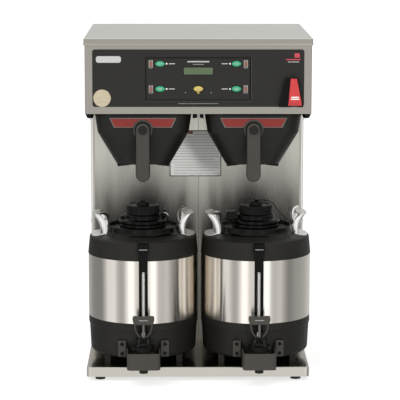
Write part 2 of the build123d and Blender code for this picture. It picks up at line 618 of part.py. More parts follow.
def faucet_guard():
    """Rounded cup in front of the faucet on two screwed plates."""
    front = GUARD_FRONT - SATELLITE_Y
    back = PAD_Y - SATELLITE_Y - 0.1
    outline = Pos(0, (front + back + 20) / 2) * RectangleRounded(2 * GUARD_HALF, back + 20 - front, 12)
    inner = Pos(0, (front + back + 20) / 2) * RectangleRounded(2 * GUARD_HALF - 6, back + 14 - front, 9)
    cup = Pos(0, 0, GUARD_LOW) * extrude(outline - inner, GUARD_HIGH - GUARD_LOW)
    cup = cup & block(-80, 80, front, back, GUARD_LOW, GUARD_HIGH)
    for side in (-1, 1):
        low_x, high_x = sorted((side * (GUARD_HALF - 3), side * PAD_OUT))
        cup += block(low_x, high_x, back - 2.5, back, PAD_LOW, PAD_HIGH)
        for z in (PAD_LOW + 8, PAD_HIGH - 8):
            cup -= rod_y(side * 50, z, back - 5, back + 5, 2.6)
    return cup


def guard_screws():
    """Four round-head screws that hold the guard plates to the skirt's pads."""
    face = PAD_Y - SATELLITE_Y - 2.6
    screws = []
    for side in (-1, 1):
        for z in (PAD_LOW + 8, PAD_HIGH - 8):
            head = rod_y(side * 50, z, face - 2, face, 4)
            screws.append(head + rod_y(side * 50, z, face, face + 2.5, 2.5))
    return group(screws)


def export_all():
    save(base_pan(), "base_pan")
    save(group([levelling_foot(x, y) for x, y in foot_places()]), "levelling_feet")
    save(column_front(), "column_front")
    save(group([side_panel(-1), side_panel(1)]), "side_panels")
    save(rear_panel(), "rear_panel")
    save(head_shell(), "head_shell")
    save(head_floor(), "head_floor")
    save(top_cover(), "top_cover")
    save(control_panel(), "control_panel")
    save(control_board(), "control_board")
    for name, (x, z) in button_places().items():
        save(button(x, z), name)
    save(hot_water_housing(), "hot_water_housing")
    save(hot_water_lever(), "hot_water_lever")
    save(hot_water_valve(), "hot_water_valve")
    save(tank(), "tank")
    save(tank_lid(), "tank_lid")
    save(group([heating_element(x) for x in ELEMENT_X]), "heating_elements")
    save(group([dump_valve(-1), dump_valve(1)]), "dump_valves")
    save(group([dump_hose(-1), dump_hose(1)]), "dump_hoses")
    save(group([spray_head(-1), spray_head(1)]), "spray_heads")
    save(group([cone_rail(c, r) for c in (-1, 1) for r in (-1, 1)]), "cone_rails")
    save(inlet_valve(), "inlet_valve")
    save(cord_gland(), "cord_gland")
    save(panel_screws(), "panel_screws")
    for word, side in (("left", -1), ("right", 1)):
        save(brew_cone(side), f"{word}_brew_cone")
        save(cone_handle(side), f"{word}_cone_handle")
        save(filter_basket(side), f"{word}_filter_basket")
        export_satellite(word)


def export_satellite(word):
    place = Pos(SATELLITE_X[word], SATELLITE_Y, 0) * Rot(0, 0, SATELLITE_TURN)
    pieces = {"jacket": jacket(), "collar": collar(), "skirt": skirt(), "liner": liner(),
              "lid": lid(), "cap": cap(), "side_handles": group([side_handle(-1), side_handle(1)]),
              "gauge_shield": gauge_shield(), "gauge_tube": gauge_tube(), "faucet": faucet(),
              "faucet_lever": faucet_lever(), "faucet_guard": faucet_guard(),
              "guard_screws": guard_screws()}
    for name, piece in pieces.items():
        save(place * piece, f"{word}_{name}")


export_all()
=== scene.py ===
"""Looks of the twin satellite coffee brewer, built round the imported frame. Metres, +Z up, front to -Y."""

import math

import bmesh
import bpy
from mathutils import Matrix, Vector


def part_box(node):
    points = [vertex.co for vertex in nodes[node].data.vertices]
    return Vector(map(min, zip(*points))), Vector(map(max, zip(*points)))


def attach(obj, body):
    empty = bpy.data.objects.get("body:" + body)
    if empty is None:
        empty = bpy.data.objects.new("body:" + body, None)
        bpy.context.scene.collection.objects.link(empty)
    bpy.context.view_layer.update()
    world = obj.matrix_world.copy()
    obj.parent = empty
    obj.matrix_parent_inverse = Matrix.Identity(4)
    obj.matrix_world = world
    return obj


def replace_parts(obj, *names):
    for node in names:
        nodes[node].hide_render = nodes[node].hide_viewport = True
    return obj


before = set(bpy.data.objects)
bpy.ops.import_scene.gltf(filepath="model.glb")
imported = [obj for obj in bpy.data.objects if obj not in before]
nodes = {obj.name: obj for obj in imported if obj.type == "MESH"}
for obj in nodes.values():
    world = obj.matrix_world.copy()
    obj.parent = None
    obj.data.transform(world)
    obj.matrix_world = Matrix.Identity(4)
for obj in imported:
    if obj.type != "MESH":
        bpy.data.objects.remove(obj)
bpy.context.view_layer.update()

# ---- places read from the frame ----
COVER_LOW, COVER_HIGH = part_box("top_cover")
HEAD_LOW, HEAD_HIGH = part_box("head_shell")
LEVER_LOW, LEVER_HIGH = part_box("hot_water_lever")
PANEL_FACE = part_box("control_panel")[0].y
COLUMN_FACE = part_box("column_front")[0].y
BASE_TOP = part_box("base_pan")[1].z
SIDES = ("left", "right")
KEYS = ("left_full_button", "left_half_button", "right_full_button", "right_half_button", "select_button")

# ---- satellite, about its own axis ----
BAND_R = 0.1293             # steel band
BAND_TOP = 0.2845
# radius and height along a satellite's shoulder
SHOULDER = [(0.0925, 0.3338), (0.0990, 0.3320), (0.1060, 0.3304), (0.1150, 0.3290), (0.1232, 0.3273)]
DISH_FLOOR = 0.344          # floor of the dish round the lid
GRIP_HALF = 0.036           # half width of a side handle
STRAP_THICK = 0.002         # sheet of a side handle
FAUCET_OUT = 0.166          # faucet's axis in front of the satellite's
RING_NUT_R = 0.025
PIVOT_HIGH = 0.105          # pin of the faucet lever
PAD_FACE = -0.1247          # face of the skirt's pads that carry the guard

# ---- brew cone ----
WINDOW_MIDDLE = 0.606       # height of the red window's middle
WINDOW_TILT = math.atan2(0.005, 0.043)
HANDLE_RIM = 0.0011         # black rim round the handle

# ---- cabinet: left, right, low and high edges ----
FIELD = (-0.1205, 0.1205, 0.6565, 0.7555)       # sunk keypad field
DISPLAY = (-0.0334, 0.0334, 0.7164, 0.7326)
INFO_PLATE = (-0.067, 0.059, 0.443, 0.556)
FIELD_FLOOR = PANEL_FACE + 0.001
COLUMN_EDGE = 0.2566        # outer side of the column's folds, with bright strips painted on them as a highlight
PRINT = 0.0001              # rounding of thin printed pieces

# ---- light and camera ----
LAMPS = [("key", 45, 2.2, (-2.2, -2.6, 2.9)), ("fill", 50, 0.45, (1.05, -3.7, 1.2))]    # name, W, m, place
FLOOR_GLOW = 0.56           # whitens the floor for the camera only, so a soft shadow is left
FLOOR_SIZE = 30
# azimuth round the object in degrees (0 is the front, positive to the right) and brightness from there on
SURROUND = [(-180, 0.85), (-150, 0.7), (-125, 0.45), (-97, 0.4), (-88, 0.85), (-79, 1.45), (-62, 1.5),
            (-55, 0.95), (-49, 0.7), (-41, 0.8), (-34, 1.5), (-29, 2.4), (-21, 2.3), (-14, 1.25), (-8, 1.3),
            (8, 1.3), (13, 1.5), (20, 2.5), (27, 2.2), (32, 1.05), (40, 0.9), (54, 1.15), (60, 0.75),
            (72, 0.38), (84, 0.5), (100, 0.6), (125, 0.75), (150, 1.05), (180, 0.85)]
SURROUND_LEVEL = 0.62
OVERHEAD_LEVEL = 0.95
CAMERA_PLACE = (-0.0457, -4.6037, 1.1265)
CAMERA_DOWN, CAMERA_RIGHT, CAMERA_ROLL = 9.059, 0.6504, 0.0492      # degrees
CAMERA_LENS = 173.69                                                 # mm on a 36 mm sensor

# ---- finishes ----
VERTICAL_GRAIN = (900, 900, 5)
ACROSS_GRAIN = (5, 900, 900)
SMEAR_TURN = 0.25           # quarter turn: reflections are drawn out upright
STEEL = (0.425, 0.405, 0.36)
PAINTED_LID_REFLECTION = (0.34, 0.53)    # heights between which the column's painted reflection of the lids fades and the column brightens


# ---- node helpers ----
def new_node(tree, kind, inputs=None, **settings):
    """Node of one kind, with its settings made and its inputs filled."""
    node = tree.nodes.new(kind)
    for key, value in settings.items():
        setattr(node, key, value)
    feed(node, inputs or {})
    return node


def feed(node, inputs):
    """Fills a node's inputs: a socket is linked, anything else becomes the value."""
    for key, value in inputs.items():
        if isinstance(value, bpy.types.NodeSocket):
            node.id_data.links.new(value, node.inputs[key])
        else:
            node.inputs[key].default_value = value


def side_name(side):
    return "left" if side < 0 else "right"


class Shade:
    """A material whose nodes are added one by one."""

    def __init__(self, name, color, rough, metal=0.0, **sockets):
        self.mat = bpy.data.materials.new(name)
        self.mat.use_nodes = True
        self.mat.diffuse_color = (*color, 1)
        self.tree = self.mat.node_tree
        self.bsdf = self.tree.nodes["Principled BSDF"]
        self.color = color
        self.surface({"Base Color": (*color, 1), "Roughness": rough, "Metallic": metal})
        self.surface({key.replace("_", " "): value for key, value in sockets.items()})
        self.coords = self.add("ShaderNodeTexCoord").outputs["Object"]

    def add(self, kind, inputs=None, **settings):
        return new_node(self.tree, kind, inputs, **settings)

    def surface(self, inputs):
        """Fills the material's own inputs."""
        feed(self.bsdf, inputs)

    def draw_upright(self):
        """Turns the stretched reflections about Z."""
        self.surface({"Tangent": self.add("ShaderNodeTangent", axis="Z").outputs[0]})

    def stretched(self, scale):
        """Object coordinates, scaled per axis."""
        return self.add("ShaderNodeMapping", {"Scale": scale, "Vector": self.coords}).outputs["Vector"]

    def noise(self, scale, detail=2.0, stretch=(1, 1, 1)):
        inputs = {"Scale": scale, "Detail": detail, "Vector": self.stretched(stretch)}
        return self.add("ShaderNodeTexNoise", inputs).outputs["Fac"]

    def ramp(self, fac, low, high):
        """Spreads the middle of a noise's range over low to high."""
        inputs = {"From Min": 0.3, "From Max": 0.7, "To Min": low, "To Max": high, "Value": fac}
        return self.add("ShaderNodeMapRange", inputs).outputs["Result"]

    def mix(self, fac, first, second):
        """Blend of two colours."""
        inputs = {0: fac, 6: (*first, 1), 7: (*second, 1)}
        return self.add("ShaderNodeMix", inputs, data_type="RGBA").outputs[2]

    def tint(self, fac, dark, light):
        """Varies the colour between dark and light times its own value."""
        first, second = ([min(1, c * by) for c in self.color] for by in (dark, light))
        self.surface({"Base Color": self.mix(fac, first, second)})

    def vary_rough(self, fac, low, high):
        self.surface({"Roughness": self.ramp(fac, low, high)})

    def bump(self, fac, strength):
        node = self.add("ShaderNodeBump", {"Strength": strength, "Distance": 0.0002, "Height": fac})
        self.surface({"Normal": node.outputs["Normal"]})


def brushed(name, color, rough, stretch, streak=0.06, smear=0.0):
    """Stainless sheet with a fine grain along one direction; smear draws its reflections out upright."""
    s = Shade(name, color, rough, 1.0, Anisotropic=smear, Anisotropic_Rotation=SMEAR_TURN)
    if smear:
        s.draw_upright()
    s.tint(s.noise(1.0, 3.0, [along * 0.1 for along in stretch]), 1 - streak, 1 + streak)
    s.vary_rough(s.noise(1.0, 2.0, stretch), rough * 0.96, rough * 1.05)
    return s.mat


def column_steel():
    """Upright brushed steel with a painted reflection of the satellites' black lids as a long upright smear:
    its colour darkens towards the bottom.
    """
    s = Shade("steel_column", (0.65, 0.63, 0.567), 0.27, 1.0, Anisotropic=0.9,
              Anisotropic_Rotation=SMEAR_TURN)
    s.draw_upright()
    low, high = PAINTED_LID_REFLECTION
    split = s.add("ShaderNodeSeparateXYZ", {0: s.coords})
    height = s.add("ShaderNodeMapRange", {"From Min": low, "From Max": high, "Value": split.outputs["Z"]},
                   interpolation_type="SMOOTHSTEP")
    drift = s.add("ShaderNodeMath", {0: s.noise(1.0, 3.0, (22, 22, 1.2)), 1: 0.9, 2: -0.45},
                  operation="MULTIPLY_ADD")
    total = s.add("ShaderNodeMath", {0: height.outputs["Result"], 1: drift.outputs[0]}, operation="ADD",
                  use_clamp=True)
    # painted reflection of the lids: colour darker low down, lighter above
    s.tint(total.outputs[0], 0.42, 1.08)
    s.vary_rough(s.noise(1.0, 2.0, VERTICAL_GRAIN), 0.26, 0.28)
    return s.mat


def steel_painted_by_facing(name, upright, level, rough_upright, rough_level):
    """Sheet whose upright faces and level faces get different colours, painted light and shade by the way
    they face, and different roughness.
    """
    s = Shade(name, upright, rough_upright, 1.0)
    normal = s.add("ShaderNodeNewGeometry").outputs["Normal"]
    up = s.add("ShaderNodeSeparateXYZ", {0: normal}).outputs["Z"]
    grain = s.noise(1.0, 2.0, ACROSS_GRAIN)
    first, second = (s.ramp(grain, rough * 0.9, rough * 1.1) for rough in (rough_upright, rough_level))
    rough = s.add("ShaderNodeMix", {0: up, 2: first, 3: second}, data_type="FLOAT")
    # painted light and shade: level and upright faces take different colours
    s.surface({"Base Color": s.mix(up, upright, level), "Roughness": rough.outputs[0]})
    return s.mat


def moulded(name, color, rough, grain=1400.0, strength=0.12, shine=0.26):
    """Fine spark-eroded plastic skin with slight handling marks."""
    s = Shade(name, color, rough, Specular_IOR_Level=shine)
    s.tint(s.noise(14.0, 4.0), 0.85, 1.18)
    s.vary_rough(s.noise(30.0, 5.0), rough * 0.88, rough * 1.14)
    s.bump(s.noise(grain, 2.0), strength)
    return s.mat


def ribbed_panel():
    """Black panel with fine horizontal pinstripes."""
    s = Shade("panel_black", (0.0135, 0.0128, 0.011), 0.5, Specular_IOR_Level=0.3)
    wave = s.add("ShaderNodeTexWave", {"Scale": 1.0, "Vector": s.stretched((1, 1, 85))}, wave_type="BANDS",
                 bands_direction="Z")
    s.tint(wave.outputs["Fac"], 0.6, 1.5)
    s.vary_rough(s.noise(40.0, 3.0), 0.44, 0.56)
    s.bump(wave.outputs["Fac"], 0.15)
    return s.mat


def liquid_display():
    """Back-lit green display with a faint row of empty character cells."""
    s = Shade("display_green", (0.055, 0.09, 0.038), 0.25, Coat_Weight=0.6, Coat_Roughness=0.08)
    turn = s.add("ShaderNodeMapping", {"Rotation": (math.radians(90), 0, 0), "Scale": (260, 260, 260),
                                       "Vector": s.coords})
    inputs = {"Color1": (0.062, 0.1, 0.044, 1), "Color2": (0.056, 0.092, 0.039, 1),
              "Mortar": (0.048, 0.078, 0.034, 1), "Scale": 1.0, "Brick Width": 0.85, "Row Height": 1.6,
              "Mortar Size": 0.06, "Vector": turn.outputs["Vector"]}
    cells = s.add("ShaderNodeTexBrick", inputs, offset=0.0)
    s.surface({"Base Color": cells.outputs["Color"], "Emission Color": (0.10, 0.16, 0.075, 1),
               "Emission Strength": 0.1})
    return s.mat


def gloss(name, color, rough=0.3):
    """Injection-moulded coloured plastic with a soft sheen."""
    s = Shade(name, color, rough, Coat_Weight=0.25, Coat_Roughness=0.2)
    s.tint(s.noise(60.0, 3.0), 0.92, 1.08)
    s.vary_rough(s.noise(90.0, 3.0), rough * 0.85, rough * 1.2)
    s.bump(s.noise(900.0, 2.0), 0.05)
    return s.mat


def clear_glass():
    """Sight tube, see-through but faintly clouded."""
    s = Shade("clear_glass", (0.9, 0.88, 0.85), 0.12, Transmission_Weight=0.45, IOR=1.45)
    s.vary_rough(s.noise(30.0, 2.0), 0.02, 0.08)
    return s.mat


def milky_backing():
    """White strip behind the sight tube."""
    s = Shade("gauge_backing", (0.62, 0.6, 0.56), 0.5)
    s.tint(s.noise(25.0, 3.0, (1, 1, 3)), 0.9, 1.06)
    return s.mat


def label_paper():
    """Satin white label with slight mottling."""
    s = Shade("label_white", (0.9, 0.9, 0.86), 0.45)
    s.tint(s.noise(35.0, 4.0), 0.94, 1.05)
    s.bump(s.noise(400.0, 2.0), 0.05)
    return s.mat


LOOKS = [
    (brushed, "steel_upright", (0.56, 0.54, 0.485), 0.27, VERTICAL_GRAIN, 0.03, 0.9),
    (brushed, "steel_front", STEEL, 0.33, ACROSS_GRAIN, 0.03),
    # steel_top and steel_deck: upright and level faces in different tones as painted light and shade
    (steel_painted_by_facing, "steel_top", (0.42, 0.395, 0.345), (0.8, 0.8, 0.745), 0.33, 0.32),
    (steel_painted_by_facing, "steel_deck", (0.69, 0.66, 0.60), (0.5, 0.46, 0.4), 0.3, 0.17),
    (brushed, "steel_band", (0.8, 0.755, 0.69), 0.22, VERTICAL_GRAIN, 0.07, 0.9),
    (brushed, "tank_steel", (0.55, 0.55, 0.55), 0.35, ACROSS_GRAIN),
    (brushed, "bright_steel", (0.93, 0.92, 0.9), 0.3, VERTICAL_GRAIN, 0.04),
    (moulded, "black_plastic", (0.0125, 0.0117, 0.0095), 0.5),
    (moulded, "cone_plastic", (0.0085, 0.008, 0.0062), 0.42),
    (moulded, "gray_plastic", (0.051, 0.047, 0.04), 0.45),
    (moulded, "gloss_black", (0.002, 0.0018, 0.0015), 0.17, 900.0, 0.04, 0.16),
    (moulded, "foot_rubber", (0.03, 0.03, 0.03), 0.7, 600.0, 0.3),
    (moulded, "silicone_hose", (0.7, 0.7, 0.67), 0.5, 200.0, 0.1),
    (moulded, "circuit_board", (0.03, 0.17, 0.07), 0.4, 500.0, 0.2),
    (brushed, "valve_brass", (0.72, 0.55, 0.27), 0.28, ACROSS_GRAIN),
    (gloss, "green_key", (0.03, 0.33, 0.16)),
    (gloss, "yellow_key", (0.52, 0.4, 0.088)),
    (gloss, "red_plastic", (0.5, 0.028, 0.03), 0.38),
    (gloss, "red_band", (0.18, 0.006, 0.001), 0.3),
    (gloss, "cream", (0.46, 0.4, 0.28), 0.45),
    (gloss, "white_print", (0.78, 0.78, 0.75), 0.4),
    (gloss, "gray_print", (0.3, 0.3, 0.29), 0.5),
    # lighter than steel_front: the painted highlight of the cover's hem
    (brushed, "steel_edge", (0.5, 0.475, 0.42), 0.3, ACROSS_GRAIN),
    (moulded, "handle_gray", (0.045, 0.042, 0.036), 0.4),
    (moulded, "window_gray", (0.13, 0.12, 0.11), 0.35),
    # lighter than gray_plastic: the painted highlight down the lever's rib
    (moulded, "lever_rib", (0.11, 0.105, 0.1), 0.35),
    (gloss, "field_glint", (0.05, 0.048, 0.045), 0.4),
    (gloss, "gray_dark", (0.07, 0.07, 0.068), 0.5),
    (gloss, "soft_print", (0.42, 0.42, 0.40), 0.5),
    (brushed, "name_plate", (0.72, 0.72, 0.70), 0.4, ACROSS_GRAIN),
    (gloss, "badge_red", (0.45, 0.04, 0.06), 0.4),
    (gloss, "icon_red", (0.2, 0.075, 0.05), 0.4),
    (gloss, "sticker_print", (0.42, 0.36, 0.24), 0.5),
]
MATERIALS = {
    "steel_column": column_steel(),
    "panel_black": ribbed_panel(),
    "display_green": liquid_display(),
    "clear_glass": clear_glass(),
    "gauge_backing": milky_backing(),
    "label_white": label_paper(),
}
MATERIALS.update((name, maker(name, *values)) for maker, name, *values in LOOKS)


def by_node(groups):
    """Turns finishes with their nodes into nodes with their finish."""
    return {node: finish for finish, names in groups.items() for node in names.split()}


CAD_FINISH = by_node({
    "steel_deck": "base_pan", "steel_column": "column_front", "steel_upright": "side_panels rear_panel",
    "steel_front": "head_shell head_floor", "steel_top": "top_cover", "panel_black": "control_panel",
    "circuit_board": "control_board", "gloss_black": "hot_water_housing", "red_plastic": "hot_water_lever",
    "valve_brass": "hot_water_valve dump_valves inlet_valve",
    "tank_steel": "tank tank_lid heating_elements spray_heads", "silicone_hose": "dump_hoses",
    "black_plastic": "cone_rails cord_gland", "bright_steel": "panel_screws",
    "foot_rubber": "levelling_feet", "yellow_key": "select_button",
})
SATELLITE_FINISH = by_node({
    "steel_band": "jacket", "black_plastic": "collar skirt faucet", "tank_steel": "liner filter_basket",
    "gloss_black": "lid cap gauge_shield guard_screws", "bright_steel": "side_handles",
    "clear_glass": "gauge_tube", "gray_plastic": "faucet_lever faucet_guard cone_handle",
    "cone_plastic": "brew_cone", "green_key": "full_button half_button",
})


def finish_cad():
    """Gives every CAD node its finish."""
    for name, node in nodes.items():
        finish = CAD_FINISH.get(name) or SATELLITE_FINISH[name.split("_", 1)[1]]
        node.data.materials.clear()
        node.data.materials.append(MATERIALS[finish])


# ---- mesh helpers ----
HERE = Matrix.Identity(4)


def piece(name, verts, faces, finish, body, smooth=35, bevel=0.0, place=HERE):
    """Mesh piece that rides on a body, with an optional bevel on its hard edges."""
    mesh = bpy.data.meshes.new(name)
    mesh.from_pydata([tuple(place @ Vector(v)) for v in verts], [], faces)
    fix = bmesh.new()
    fix.from_mesh(mesh)
    bmesh.ops.recalc_face_normals(fix, faces=fix.faces)
    fix.to_mesh(mesh)
    fix.free()
    mesh.shade_smooth()
    mesh.set_sharp_from_angle(angle=math.radians(smooth))
    mesh.materials.append(MATERIALS[finish])
    obj = bpy.data.objects.new(name, mesh)
    bpy.context.scene.collection.objects.link(obj)
    if bevel:
        edge = obj.modifiers.new("edge", "BEVEL")
        edge.width = bevel
        edge.segments = 3
        edge.limit_method = "ANGLE"
        edge.angle_limit = math.radians(smooth)
        edge.harden_normals = True
    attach(obj, body)
    return obj


def soften(points, radius, steps=5, closed=True):
    """Rounds each corner of a flat outline with a short curve."""
    out = []
    count = len(points)
    for i, corner in enumerate(points):
        corner = Vector(corner)
        if not closed and i in (0, count - 1):
            out.append(tuple(corner))
            continue
        before, after = Vector(points[i - 1]) - corner, Vector(points[(i + 1) % count]) - corner
        reach = min(radius, before.length * 0.45, after.length * 0.45)
        start, end = corner + before.normalized() * reach, corner + after.normalized() * reach
        for k in range(steps + 1):
            t = k / steps
            out.append(tuple(start * (1 - t) ** 2 + corner * 2 * t * (1 - t) + end * t ** 2))
    return out


def lathe(name, profile, finish, body, place=HERE, segments=144, smooth=35, flutes=0, flute_depth=0.0,
          fluted=()):
    """Closed outline of (radius, height) turned round Z; the outline points named in fluted get flutes."""
    verts, faces = [], []
    count = len(profile)
    for s in range(segments):
        a = 2 * math.pi * s / segments
        dip = flute_depth * (0.5 - 0.5 * math.cos(flutes * a)) ** 2 if flutes else 0
        for k, (r, z) in enumerate(profile):
            radius = r - dip if k in fluted else r
            verts.append((radius * math.cos(a), radius * math.sin(a), z))
    for s in range(segments):
        t = (s + 1) % segments
        for k in range(count):
            m = (k + 1) % count
            faces.append((s * count + k, t * count + k, t * count + m, s * count + m))
    return piece(name, verts, faces, finish, body, smooth, place=place)


def prism(outline, levels, point):
    """Vertices and faces of an outline made solid between two levels."""
    n = len(outline)
    verts = [point(u, v, level) for level in levels for u, v in outline]
    faces = [tuple(range(n)), tuple(range(2 * n - 1, n - 1, -1))]
    faces += [(k, (k + 1) % n, n + (k + 1) % n, n + k) for k in range(n)]
    return verts, faces


def plate(name, outline, y0, y1, finish, body, bevel=0.0005, place=HERE):
    """Outline in x and z, made solid from y0 to y1."""
    verts, faces = prism(outline, (y0, y1), lambda x, z, y: (x, y, z))
    return piece(name, verts, faces, finish, body, 35, bevel, place)


def slab(name, outline, z0, z1, finish, body, bevel=0.0005, place=HERE):
    """Outline in x and y, made solid from z0 to z1."""
    verts, faces = prism(outline, (z0, z1), lambda x, y, z: (x, y, z))
    return piece(name, verts, faces, finish, body, 35, bevel, place)


def sheet_faces(rows, columns):
    """Faces of a sheet: a grid of points, the same grid again for its other side, and the rim."""
    wide = columns + 1
    layer = wide * rows
    faces = []
    for a in (r * wide + c for r in range(rows - 1) for c in range(columns)):
        faces.append((a, a + 1, a + wide + 1, a + wide))
        faces.append((layer + a + wide, layer + a + wide + 1, layer + a + 1, layer + a))
    rim = list(range(wide)) + [r * wide + columns for r in range(1, rows)]
    rim += [layer - 1 - c for c in range(1, wide)] + [r * wide for r in range(rows - 2, 0, -1)]
    return faces + [(rim[k - 1], rim[k], layer + rim[k], layer + rim[k - 1]) for k in range(len(rim))]


def ribbon(name, rows, thick, crown, finish, body, place=HERE, columns=8):
    """Upright bent strip: each row is (left x, right x, y, z), and its middle stands proud by crown."""
    verts = []
    for back in (0, 1):
        for left, right, y, z in rows:
            for c in range(columns + 1):
                t = c / columns
                verts.append((left + (right - left) * t, y + crown * (2 * t - 1) ** 2 + back * thick, z))
    faces = sheet_faces(len(rows), columns)
    return piece(name, verts, faces, finish, body, 50, thick * 0.3, place)


def rectangle(x0, x1, z0, z1, radius=0.0):
    corners = [(x0, z0), (x1, z0), (x1, z1), (x0, z1)]
    return soften(corners, radius) if radius else corners


def bar(x, z, half_wide, half_tall, radius=0.0):
    """Rectangle round a centre."""
    return rectangle(x - half_wide, x + half_wide, z - half_tall, z + half_tall, radius)


def inset(edges, gap, radius=0.0):
    """Rectangle inside given edges by a gap."""
    x0, x1, z0, z1 = edges
    return rectangle(x0 + gap, x1 - gap, z0 + gap, z1 - gap, radius)


def disc(x, z, radius, count=32):
    return [(x + radius * math.cos(2 * math.pi * k / count), z + radius * math.sin(2 * math.pi * k / count))
            for k in range(count)]


def stadium(x, z, half_long, half_wide, upright=False, count=12):
    """Slot outline round a centre."""
    run = half_long - half_wide
    out = []
    for end, start in ((1, -90), (-1, 90)):
        for k in range(count + 1):
            a = math.radians(start + 180 * k / count)
            u, v = end * run + half_wide * math.cos(a), half_wide * math.sin(a)
            out.append((x - v, z + u) if upright else (x + u, z + v))
    return out


def wire(name, points, radius, finish, body, place=HERE):
    """Round wire along a smooth line."""
    curve = bpy.data.curves.new(name, "CURVE")
    curve.dimensions = "3D"
    curve.bevel_depth = radius
    curve.bevel_resolution = 4
    curve.resolution_u = 8
    spline = curve.splines.new("NURBS")
    spline.points.add(len(points) - 1)
    for target, point in zip(spline.points, points):
        target.co = (*(place @ Vector(point)), 1)
    spline.order_u = 3
    spline.use_endpoint_u = True
    curve.use_fill_caps = True
    curve.materials.append(MATERIALS[finish])
    obj = bpy.data.objects.new(name, curve)
    bpy.context.scene.collection.objects.link(obj)
    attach(obj, body)
    return obj


# ---- satellites, drawn about their own axis with the faucet towards -Y ----
def satellite_place(word):
    """Matrix from a satellite's own axes to the machine's."""
    low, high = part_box(word + "_jacket")
    axis = (low + high) / 2
    ring_low, ring_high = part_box(word + "_faucet")
    sideways = (ring_low.x + ring_high.x) / 2 - axis.x
    forward = axis.y - ring_low.y - RING_NUT_R
    return Matrix.Translation((axis.x, axis.y, 0)) @ Matrix.Rotation(math.atan2(sideways, forward), 4, "Z")


def satellite_collar(word, place):
    """Satin shoulder and the glossy neck ring that rises from it."""
    satin = [(0.1268, BAND_TOP), (0.1300, BAND_TOP), (0.1299, 0.2865), (0.1266, 0.3215), (0.1257, 0.3252),
             *SHOULDER[::-1], (0.0905, 0.3325), (0.0980, 0.3300), (0.1050, 0.3284), (0.1215, 0.3250),
             (0.1240, 0.3215)]
    shoulder = lathe(word + "_collar_shell", satin, "black_plastic", word + "_satellite",
                     place)
    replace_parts(shoulder, word + "_collar")
    neck = [(0.0925, 0.3339), (0.0892, 0.3358), (0.0868, 0.3392), (0.0852, 0.3440), (0.0847, 0.3485),
            (0.0838, 0.3500), (0.0820, 0.3503), (0.0806, 0.3496), (0.0796, 0.3445), (0.0780, DISH_FLOOR),
            (0.0592, DISH_FLOOR), (0.0592, 0.3245), (0.0620, 0.3245), (0.0620, 0.3400), (0.0800, 0.3400),
            (0.0840, 0.3356), (0.0905, 0.3325)]
    lathe(word + "_neck_ring", neck, "gloss_black", word + "_satellite", place)


def satellite_lid(word, place):
    """Lid with a beaded ring and a raised step, and the fluted cap on top."""
    ring = [(0.009, 0.3225), (0.053, 0.3225), (0.0535, 0.3446), (0.0556, 0.3446), (0.0562, 0.3458),
            (0.0562, 0.3520), (0.0556, 0.3532), (0.0556, 0.3548), (0.0562, 0.3558), (0.0562, 0.3605),
            (0.0552, 0.3628), (0.0530, 0.3640), (0.0465, 0.3648), (0.0447, 0.3662), (0.0445, 0.3700),
            (0.0438, 0.3712), (0.0445, 0.3722), (0.0442, 0.3748), (0.0430, 0.3758), (0.0300, 0.3758),
            (0.0300, 0.3915), (0.009, 0.3915)]
    body = lathe(word + "_lid_body", ring, "gloss_black", word + "_lid", place)
    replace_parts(body, word + "_lid")
    crown = [(0.03006, 0.3763), (0.0378, 0.3763), (0.0390, 0.3772), (0.0390, 0.3795), (0.0390, 0.3925),
             (0.0384, 0.3955), (0.0370, 0.3975), (0.0345, 0.3975), (0.0335, 0.3962), (0.0168, 0.3958),
             (0.0160, 0.3966), (0.0157, 0.4020), (0.0146, 0.4038), (0.0110, 0.4050), (0.0085, 0.4048),
             (0.0070, 0.4030), (0.0060, 0.4025), (0.0060, 0.3930), (0.03006, 0.3930)]
    cap = lathe(word + "_cap_shell", crown, "gloss_black", word + "_cap", place, 288, 40,
                flutes=36, flute_depth=0.0014, fluted=(3, 4, 5))
    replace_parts(cap, word + "_cap")


def lid_fittings():
    """Catch and hinge blocks on the lids, a bright wire bail on the left one and a black one on the right."""
    blocks = [("left_lid_catch", "left", (-0.055, -0.041), (-0.006, 0.012), (0.3615, 0.3715)),
              ("left_lid_hinge", "left", (0.043, 0.056), (0.012, 0.032), (0.3640, 0.3820)),
              ("right_lid_hinge", "right", (-0.073, -0.047), (-0.012, 0.016), (0.3620, 0.3820))]
    for name, word, (x0, x1), (y0, y1), (z0, z1) in blocks:
        outline = soften([(x0, z0), (x1, z0), (x1, z1), (x0 + 0.003, z1)], 0.004)
        plate(name, outline, y0, y1, "gloss_black", word + "_lid", 0.0015,
              satellite_place(word))
    bail = [(0.042, 0.006, 0.366), (0.040, 0.004, 0.373), (0.047, -0.006, 0.380), (0.057, -0.008, 0.377),
            (0.061, -0.006, 0.368), (0.056, 0.0, 0.359), (0.048, 0.004, 0.356)]
    wire("left_lid_bail", bail, 0.0013, "bright_steel", "left_lid", satellite_place("left"))
    bail = [(-0.003, 0, 0.4066), (0.016, 0, 0.4082), (0.040, 0, 0.4035), (0.050, 0, 0.3860),
            (0.060, 0, 0.3740), (0.068, 0, 0.3650), (0.0745, 0, 0.3600)]
    wire("right_lid_bail", bail, 0.0011, "gloss_black", "right_lid",
         satellite_place("right"))


def shoulder_height(r):
    """Height of the collar's shoulder at a radius."""
    for (r0, z0), (r1, z1) in zip(SHOULDER, SHOULDER[1:]):
        if r <= r1:
            break
    return z0 + (z1 - z0) * (r - r0) / (r1 - r0)


def shoulder_strap(name, inner, outer, half_angle, body, place):
    """Bright strap lying on the shoulder, narrower and rounded at its outer end."""
    rows, columns = 6, 18
    verts = []
    for layer in (0.0003, 0.0018):
        for r in range(rows + 1):
            radius = inner + (outer - inner) * r / rows
            spread = half_angle * (1 - 0.28 * (r / rows) ** 3)
            for c in range(columns + 1):
                a = math.radians(-spread + 2 * spread * c / columns)
                verts.append((radius * math.cos(a), radius * math.sin(a), shoulder_height(radius) + layer))
    faces = sheet_faces(rows + 1, columns)
    piece(name, verts, faces, "bright_steel", body, 50, 0.0004, place)


